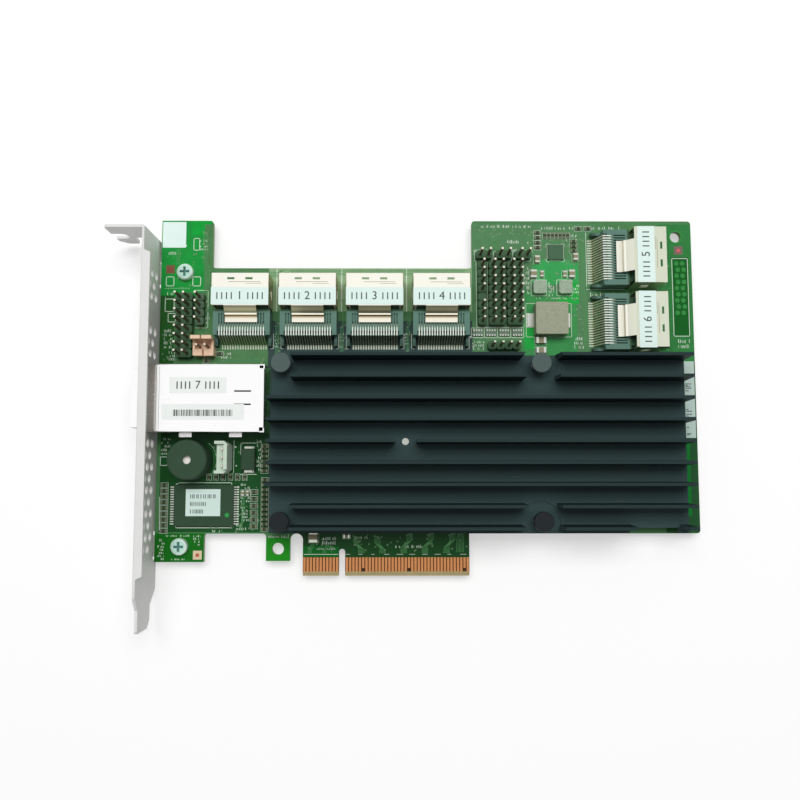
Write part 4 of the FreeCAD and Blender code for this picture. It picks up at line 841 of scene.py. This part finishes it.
# %% [markdown]
# ## Copper under the mask
#
# Tracks lift the mask by a few hundredths of a millimetre and catch the light, so they read as thin pale lines.
# They run in bundles: straight, then a 45 degree jog, then straight again. Each bundle is one loop over its
# lanes, and vias stand where every other lane ends. A via is a plated hole, of which only the ring on the face is
# made.


# %% Bundles of tracks
tracks = bmesh.new()
vias = bmesh.new()
TRACK = 0.03        # how far a track lifts the mask
BEND = 0.41         # each lane bends this much later or earlier per millimetre of pitch


def via(x, y, radius=0.32):
    """A plated ring round a small hole."""
    ring(vias, x, y, FACE, FACE + 0.035, radius * 0.45, radius, 10)


def bundle(x, y, along, jog, after, lanes, pitch=0.34, width=0.15, upright=True, ends=True):
    """Lanes from (x, y), x from the left edge: a run, a 45 degree jog, another run."""
    x += LEFT
    for lane in range(lanes):
        shift = lane * pitch
        run = along + (shift if jog > 0 else -shift) * BEND
        points = [(0, 0), (0, run), (jog, run + abs(jog)), (jog, run + abs(jog) + after)]
        if upright:
            places = [(x + shift + a, y + b) for a, b in points]
        else:
            places = [(x + b, y + shift + a) for a, b in points]
        route(tracks, places, width, FACE + TRACK)
        if ends and lane % 2 == 0:
            via(*places[-1])


for start in (62.5, 69.0, 75.5, 82.0, 88.6):
    bundle(start, 6.9, 1.6, draw.choice((-1.6, 1.8)), 2.0, 6)
for start in (47.0, 51.5):
    bundle(start, 6.9, 0.6, 0.8, 1.0, 4, ends=False)
for x in (36.9, 57.2, 77.8):
    bundle(x - 0.6, 68.4, 8.5, 0.6, 8.0, 3, 0.42, 0.16)
bundle(18.6, 93.0, 18.0, 0.7, 58.0, 4, 0.5, 0.16, upright=False, ends=False)
bundle(16.0, 64.4, 6.0, 0.9, 9.0, 5, 0.4, 0.15, upright=False)
for values in ((92.6, 7.2, 4.4, 0.5, 0.4, 6, 0.42), (13.9, 76.6, 20.0, -0.8, 10.0, 4, 0.42, 0.16),
               (4.8, 97.0, 5.0, 1.2, 2.0, 3, 0.5, 0.16), (116.0, 98.6, 4.0, 1.0, 4.0, 4, 0.5),
               (128.4, 99.4, 2.0, 0.8, 3.0, 4, 0.5), (158.2, 70.0, 20.0, 0.6, 14.0, 3, 0.45, 0.16),
               (133.2, 68.6, 16.0, -0.6, 20.0, 3, 0.42), (17.2, 29.0, 3.0, 0.5, 7.0, 4, 0.42),
               (25.9, 13.6, 2.0, 0.7, 9.0, 3, 0.42), (104.0, 102.4, 1.0, 0.8, 2.0, 5, 0.5)):
    bundle(*values)
print("tracks laid")

# %% Vias strewn where the board is crowded
for x0, x1, y0, y1, count in (
        (58, 96, 7.5, 12.4, 34), (46, 56, 7.4, 12.2, 10),
        (14, 36, 13.4, 15.0, 14), (25, 35, 13.5, 42.5, 46),
        (17.4, 20.5, 64.2, 68.5, 8), (114.8, 132.5, 84.8, 106.0, 64),
        (98.4, 117, 106.2, 108.4, 14), (36.0, 38.0, 69, 80, 9),
        (56.6, 58.4, 69, 80, 9), (77.2, 79.0, 69, 80, 9),
        (158.4, 160.4, 68.5, 108, 20), (1.0, 13.4, 86.6, 101, 16),
        (129.8, 133.2, 72, 84, 14), (1.0, 5.0, 66.5, 76, 10)):
    for _ in range(count):
        via(LEFT + draw.uniform(x0, x1), draw.uniform(y0, y1), draw.choice((0.2, 0.26, 0.32)))
finish_piece("copper_tracks", tracks, track_green)
finish_piece("via_rings", vias, via_metal)

# %% [markdown]
# ## A footprint left without its connector
#
# At the far end a framed block has rows of pads that were masked over in bright green, because this build of the
# board has no connector there. Three marks for the placing machine are square windows in the mask with a small
# copper disc in each.

# %% Masked pads and placing marks
covered = bmesh.new()
PADS = 9
middle = centre(spare)[0]
for row in range(PADS):
    y = spare[3] - 1.6 - row * 1.98
    shift = 0.25 if row % 2 else -0.15
    for x in (middle - 0.95, middle + 0.95):
        disc(covered, x + shift, y, FACE, FACE + 0.05, 0.76, 0.7, 20)
ring(covered, RIGHT - 4.9, TOP - 5.1, FACE, FACE + 0.03, 1.72, 2.2, 32)
finish_piece("masked_pads", covered,
             grained("bright_mask", (24, 132, 46), 0.3, 0.2, 500, 3000, IOR=1.5), 40)
windows = bmesh.new()
marks = bmesh.new()
for x, y in (at(2.9, 95.4), at(163.55, 101.7), at(13.2, 6.3)):
    slab(windows, x - 1.35, x + 1.35, y - 1.35, y + 1.35, FACE, FACE + 0.012)
    disc(marks, x, y, FACE + 0.012, FACE + 0.04, 0.58, segments=20)


def mark_finish(name, roughness, foot, tab, far):
    """A bare surface with its own tone at each of the three marks."""
    stops = [(0, foot), (50, foot), (51, tab), (98.4, tab), (98.6, far), (111, far)]
    material, tree, shader, place = new_material(name, Roughness=roughness)
    feed_all(tree, shader, Base_Color=toned(tree, place, ("Y", stops)))
    return material


bare = mark_finish("bare_laminate", 0.6, (222, 206, 170), (122, 84, 64), (122, 100, 94))
finish_piece("mark_windows", windows, bare)
copper = mark_finish("bare_copper", 0.4, (190, 96, 64), (138, 66, 54), (214, 96, 100))
finish_piece("mark_discs", marks, copper)
sticker = bmesh.new()
slab(sticker, LEFT + 0.25, LEFT + 7.6, 102.4, 110.7, FACE, FACE + 0.06)
bmesh.ops.bevel(sticker, geom=[e for e in sticker.edges
                               if abs(e.verts[0].co.z - e.verts[1].co.z) > 0.01],
                offset=0.2, segments=3, profile=0.5, affect="EDGES", material=-1)
finish_piece("corner_sticker", sticker, finishes["paper_label"])

# %% [markdown]
# ## Plated ends and solder
#
# A chip capacitor is a fired block whose two ends were dipped in metal. The ends wrap round five faces, so each is
# a rounded cap a hair larger than the block. Solder climbs from the pad up the end's face, which a low block
# shows. Parts longer along X have their ends left and right, the others top and bottom.


# %% Ends and pads of the two-ended parts
def bar(work, axis, along_it, across_it, z0, z1):
    """A block given by its reach along one axis and across it."""
    places = [sorted(along_it), sorted(across_it)]
    if axis == 1:
        places.reverse()
    slab(work, *places[0], *places[1], z0, z1)


FILLET = 0.28         # how far the solder reaches beyond an end
FILLET_RISE = 0.35    # how high it climbs, as a share of the part's height


def dipped_ends(work, joints, box_, share, skin=0.03):
    """The two plated ends of a chip part, and the solder below them."""
    reach = (box_[0:2], box_[2:4])
    z0, z1 = box_[4:]
    axis = 0 if reach[0][1] - reach[0][0] > reach[1][1] - reach[1][0] else 1
    cap = (reach[axis][1] - reach[axis][0]) * share
    low, high = reach[1 - axis]
    for inner, out in zip(reach[axis], (-1, 1)):
        edge = inner + out * skin
        bar(work, axis, (inner - out * cap, edge), (low - skin, high + skin), z0, z1 + skin)
        bar(joints, axis, (edge, edge + out * FILLET), (low + 0.05, high - 0.05), z0,
            z0 + (z1 - z0) * FILLET_RISE)


ends = bmesh.new()
joints = bmesh.new()
for box_ in solids("chip_capacitors"):
    dipped_ends(ends, joints, box_, 0.26)
film_ends = bmesh.new()
for box_ in solids("chip_resistors"):
    dipped_ends(film_ends, joints, box_, 0.24)
for work in (ends, film_ends):
    bmesh.ops.bevel(work, geom=list(work.edges), offset=0.05, segments=1, profile=0.5,
                    affect="EDGES", material=-1)
finish_piece("plated_ends", ends, solder, 40)
dull_tin = grained("dull_tin", (122, 132, 108), 0.45, 0.25, 900, 6000, 0.2, 6e-6,
                   Metallic=0.3)
finish_piece("resistor_ends", film_ends, dull_tin, 40)
array_ends = bmesh.new()
for x0, x1, y0, y1, z0, z1 in solids("resistor_arrays"):
    for lane in range(4):
        x = x0 + (lane + 0.5) * (x1 - x0) / 4
        for low, high in ((y0 - 0.25, y0 + 0.28), (y1 - 0.28, y1 + 0.25)):
            slab(array_ends, x - 0.22, x + 0.22, low, high, z0, z1 + 0.03)
finish_piece("array_ends", array_ends, solder)
finish_piece("solder_wedges", joints, dull_tin)

# %% [markdown]
# ## Leads round the square chip, pads under the tails
#
# A leadless chip shows only slim solder feet along its four sides. The gull-wing chip and the ports stand on
# rows of pads that are a little longer than their feet, so bright ends show beyond each lead.

# %% Solder feet and pads
feet = bmesh.new()
UPPER_ROW = 5         # contacts that reach this far above the board have a pad each
LYING_TAB = 1.6       # a tab thinner than this lies on the board
REACH = 0.35          # the length of a solder foot beyond the square chip
x0, x1, y0, y1, *_ = quad
for step in range(8):
    cx, cy = (value - 1.75 + 0.5 * step for value in centre(quad))
    for low in (y0 - REACH, y1):
        slab(feet, cx - 0.13, cx + 0.13, low, low + REACH, FACE, FACE + 0.12)
    for low in (x0 - REACH, x1):
        slab(feet, low, low + REACH, cy - 0.13, cy + 0.13, FACE, FACE + 0.12)
for number in range(1, 7):
    for bx in solids("port_%d_contacts" % number):
        if bx[5] < FACE + UPPER_ROW:
            continue
        if number < 5:
            slab(feet, bx[0] - 0.06, bx[1] + 0.06, bx[2], bx[2] + 1.0, FACE, PAD_TOP)
        else:
            slab(feet, bx[0], bx[0] + 1.0, bx[2] - 0.06, bx[3] + 0.06, FACE, PAD_TOP)
for bx in solids("flash_chip_leads"):
    slab(feet, *grown(bx, 0.25, 0.25, 0.03, 0.03), FACE, PAD_TOP)
for bx in solids("solder_tabs"):
    if bx[5] - bx[4] < LYING_TAB:
        slab(feet, *grown(bx, 0.3, 0.3, 0.25, 0.25), FACE, FACE + 0.06)
finish_piece("solder_feet", feet, solder)

# %% Solder under the board, where pins come through
cones = bmesh.new()
for pin in solids("header_pins"):
    disc(cones, *centre(pin), BACK - 0.75, BACK, 0.42, 0.85, 12)
    disc(cones, *centre(pin), FACE, PAD_TOP, 0.85, segments=12)
for tab in solids("solder_tabs"):
    if tab[4] < BACK:
        disc(cones, *centre(tab), BACK - 0.6, BACK, 0.35, 0.8, 12)
finish_piece("pin_solder", cones, solder, 40)

# %% [markdown]
# ## Print on the labels
#
# Each port's paper label carries a plain port number between strokes. Of the two on the external port, the upper
# has a 7 and strokes, and the lower has strokes alone. A font curve is turned to a mesh before it is placed, with
# a hair of thickness, so that its face lies on the paper.


# %% Numbers and strokes
def numeral(work, text, size, x, y, z, degrees=0):
    """Adds a plain number to the work, centred on a place; size and place in millimetres."""
    curve = bpy.data.curves.new("numeral", "FONT")
    curve.body = text
    curve.size = size
    curve.extrude = 0.01
    curve.resolution_u = 3
    curve.align_x = curve.align_y = "CENTER"
    carrier = place_object("numeral", curve)
    bpy.context.view_layer.update()
    mesh = bpy.data.meshes.new_from_object(carrier)
    bpy.data.objects.remove(carrier)
    before = set(work.verts)
    work.from_mesh(mesh)
    turn = Matrix.Rotation(math.radians(degrees), 4, "Z")
    bmesh.ops.transform(work, matrix=Matrix.Translation((x, y, z)) @ turn,
                        verts=[v for v in work.verts if v not in before])


def ticks(label, wide, tall, first, step, axis=0):
    """Four strokes on each side of a label's number; wide and tall are half sizes."""
    middle = centre(label)
    across_it = middle[1 - axis] - tall, middle[1 - axis] + tall
    for side in (-1, 1):
        for place in range(4):
            spot = middle[axis] + side * (first + place * step)
            bar(print_ink, axis, (spot - wide, spot + wide), across_it, label[5],
                label[5] + INK)


print_ink = bmesh.new()
papers = sorted(solids("port_labels"), key=lambda b: (b[1] - b[0] < 10, b[0], -b[2]))
for number, label in enumerate(papers, start=1):
    upright = label[1] - label[0] < 10
    numeral(print_ink, "%d" % number, 3.6, *centre(label), label[5] + INK, 90 * upright)
    ticks(label, 0.17, 1.05, 2.5, 1.45, int(upright))
low_label, high_label = sorted(solids("external_port_labels"), key=lambda b: b[2])
numeral(print_ink, "7", 3.4, *centre(high_label), high_label[5] + INK)
ticks(high_label, 0.18, (high_label[3] - high_label[2]) / 2 - 1.3, 2.4, 1.25)
x0, x1, y0, y1, z0, z1 = low_label
x = x0 + 3.4
while x < x1 - 3.2:
    wide = draw.choice((0.14, 0.14, 0.24, 0.34))
    slab(print_ink, x, x + wide, y0 + 1.1, y1 - 1.7, z1)
    x += wide + draw.choice((0.14, 0.2, 0.3))
x0, x1, y0, y1, z0, z1 = span("flash_chip_label")
for row, reach in enumerate((0.78, 0.5, 0.4)):
    y = y1 - 2.2 - row * 2.3
    x = x0 + 1.4
    while x < x0 + (x1 - x0) * reach + 1.0:
        slab(print_ink, x, x + 0.24, y - 0.6, y + 0.6, z1)
        x += draw.choice((0.45, 0.6, 0.8))
x0, x1, y0, y1, z0, z1 = span("edge_label")
y = y0 + 0.8
while y < y1 - 5.0:
    if draw.random() < 0.7:
        slab(print_ink, x1 - 2.9, x1 - draw.uniform(0.9, 2.2), y, y + 0.24, z1)
    y += draw.choice((0.4, 0.55, 1.4))
finish_piece("label_print", print_ink, black_ink)

# %% [markdown]
# ## Small marks on the parts
#
# A green paint dot marks the flash chip's first pin, pressed lines cross the roof of each cage behind its latch
# slots, and two seams cross the external port near the bracket. They are all thin, so they are laid on.

# %% Dot, pressed lines and seams
dot = bmesh.new()
x0, x1, y0, y1, z0, z1 = span("flash_chip")
disc(dot, x1 - 2.0, y0 + 3.4, z1 - 0.05, z1 + 0.01, 0.68, segments=24)
finish_piece("paint_dot", dot, grained("dot_paint", (40, 150, 70), 0.5))
pressed = bmesh.new()


def press(x0, x1, y0, y1, roof):
    """A line pressed in a cage's roof."""
    slab(pressed, x0, x1, y0, y1, roof - 0.01, roof + 0.012)


for number in range(1, 7):
    cage = span("port_%d_cage" % number)
    x, y = centre(cage)
    edge = cage[3] if number < 5 else cage[1]
    if number < 5:
        press(x - 3.4, x + 6.2, edge - 2.8, edge - 2.66, cage[5])
        press(x + 1.6, x + 6.6, edge - 3.3, edge - 3.2, cage[5])
    else:
        press(edge - 3.0, edge - 2.88, y - 4.2, y + 5.0, cage[5])
        press(edge - 3.5, edge - 3.4, y + 1.6, y + 5.6, cage[5])
x0, x1, y0, y1, z0, z1 = span("external_port_cage")
for seam, wide in ((2.4, 0.16), (3.3, 0.1)):
    press(LEFT + seam, LEFT + seam + wide, y0 + 1.8, y1 - 1.8, z1)
finish_piece("pressed_lines", pressed, plated("pressed_metal", (150, 140, 120), 0.4))

# %% [markdown]
# ## Floor, light and camera
#
# The card lies on a white floor. The floor adds a little light of its own for the camera and for mirrors only,
# so it reads as white while the card's shadow stays. One soft lamp above and an even world light it at a level
# where a colour renders about as it is written. The camera looks straight down with a slight tilt.

# %% Floor
FLOOR_COLOUR = 0.6
FLOOR_GLOW = 0.47
FLOOR_GAP = 0.00005     # metres below the lowest solid


def seen_directly(tree):
    """1 for rays from the camera, mirrors and glass, and 0 for rays that carry light."""
    rays = tree.nodes.new("ShaderNodeLightPath")
    seen = calc(tree, "MAXIMUM", rays.outputs["Is Camera Ray"], rays.outputs["Is Glossy Ray"])
    return calc(tree, "MAXIMUM", seen, rays.outputs["Is Transmission Ray"])


floor_work = bmesh.new()
bmesh.ops.create_grid(floor_work, x_segments=1, y_segments=1, size=1.5)
floor_mesh = bpy.data.meshes.new("floor")
floor_work.to_mesh(floor_mesh)
floor_work.free()
floor_z = cad_box[0][2] - FLOOR_GAP
floor_mesh.transform(Matrix.Translation((0, 0, floor_z)))
floor = place_object("floor", floor_mesh)
material, tree, shader, place = new_material(
    "floor_white", Roughness=0.7, Emission_Color=(1, 1, 1, 1),
    Base_Color=(FLOOR_COLOUR, FLOOR_COLOUR, FLOOR_COLOUR, 1))
feed_all(tree, shader, Emission_Strength=calc(tree, "MULTIPLY", seen_directly(tree), FLOOR_GLOW))
floor_mesh.materials.append(material)
print("floor at %.2f mm" % (floor_z / MM))

# %% World and lamp
world = bpy.data.worlds.new("studio")
bpy.context.scene.world = world
world.use_nodes = True
tree = world.node_tree
WORLD_LIGHT = 0.3
extra = calc(tree, "MULTIPLY", seen_directly(tree), 1 - WORLD_LIGHT)
feed_all(tree, tree.nodes["Background"], Color=(1, 1, 1, 1),
         Strength=calc(tree, "ADD", extra, WORLD_LIGHT))
lamp_data = bpy.data.lights.new("key", "AREA")
lamp_data.shape = "RECTANGLE"
lamp_data.size = 0.9
lamp_data.size_y = 0.45
lamp_data.energy = 7.0
lamp = place_object("key", lamp_data)
lamp.location = (0.03, 0.42, 0.9)
lamp.visible_glossy = False
lamp.rotation_euler = (Vector((0.03, 0.05, 0)) - lamp.location).to_track_quat("-Z", "Y").to_euler()
print("world %.2f, lamp %.1f W" % (WORLD_LIGHT, lamp_data.energy))

# %% Camera
camera_data = bpy.data.cameras.new("view")
camera_data.sensor_width = 36
camera_data.lens = 32.81
camera_data.shift_x = 0.0082
camera_data.shift_y = 0.0223
camera_data.clip_start = 0.01
camera = place_object("view", camera_data)
camera.location = (0.0145758, 0.0304817, 0.226725)
camera.rotation_euler = (math.radians(4.543), math.radians(-0.296), math.radians(-0.013))
bpy.context.scene.camera = camera
bpy.context.scene.view_settings.view_transform = "Standard"
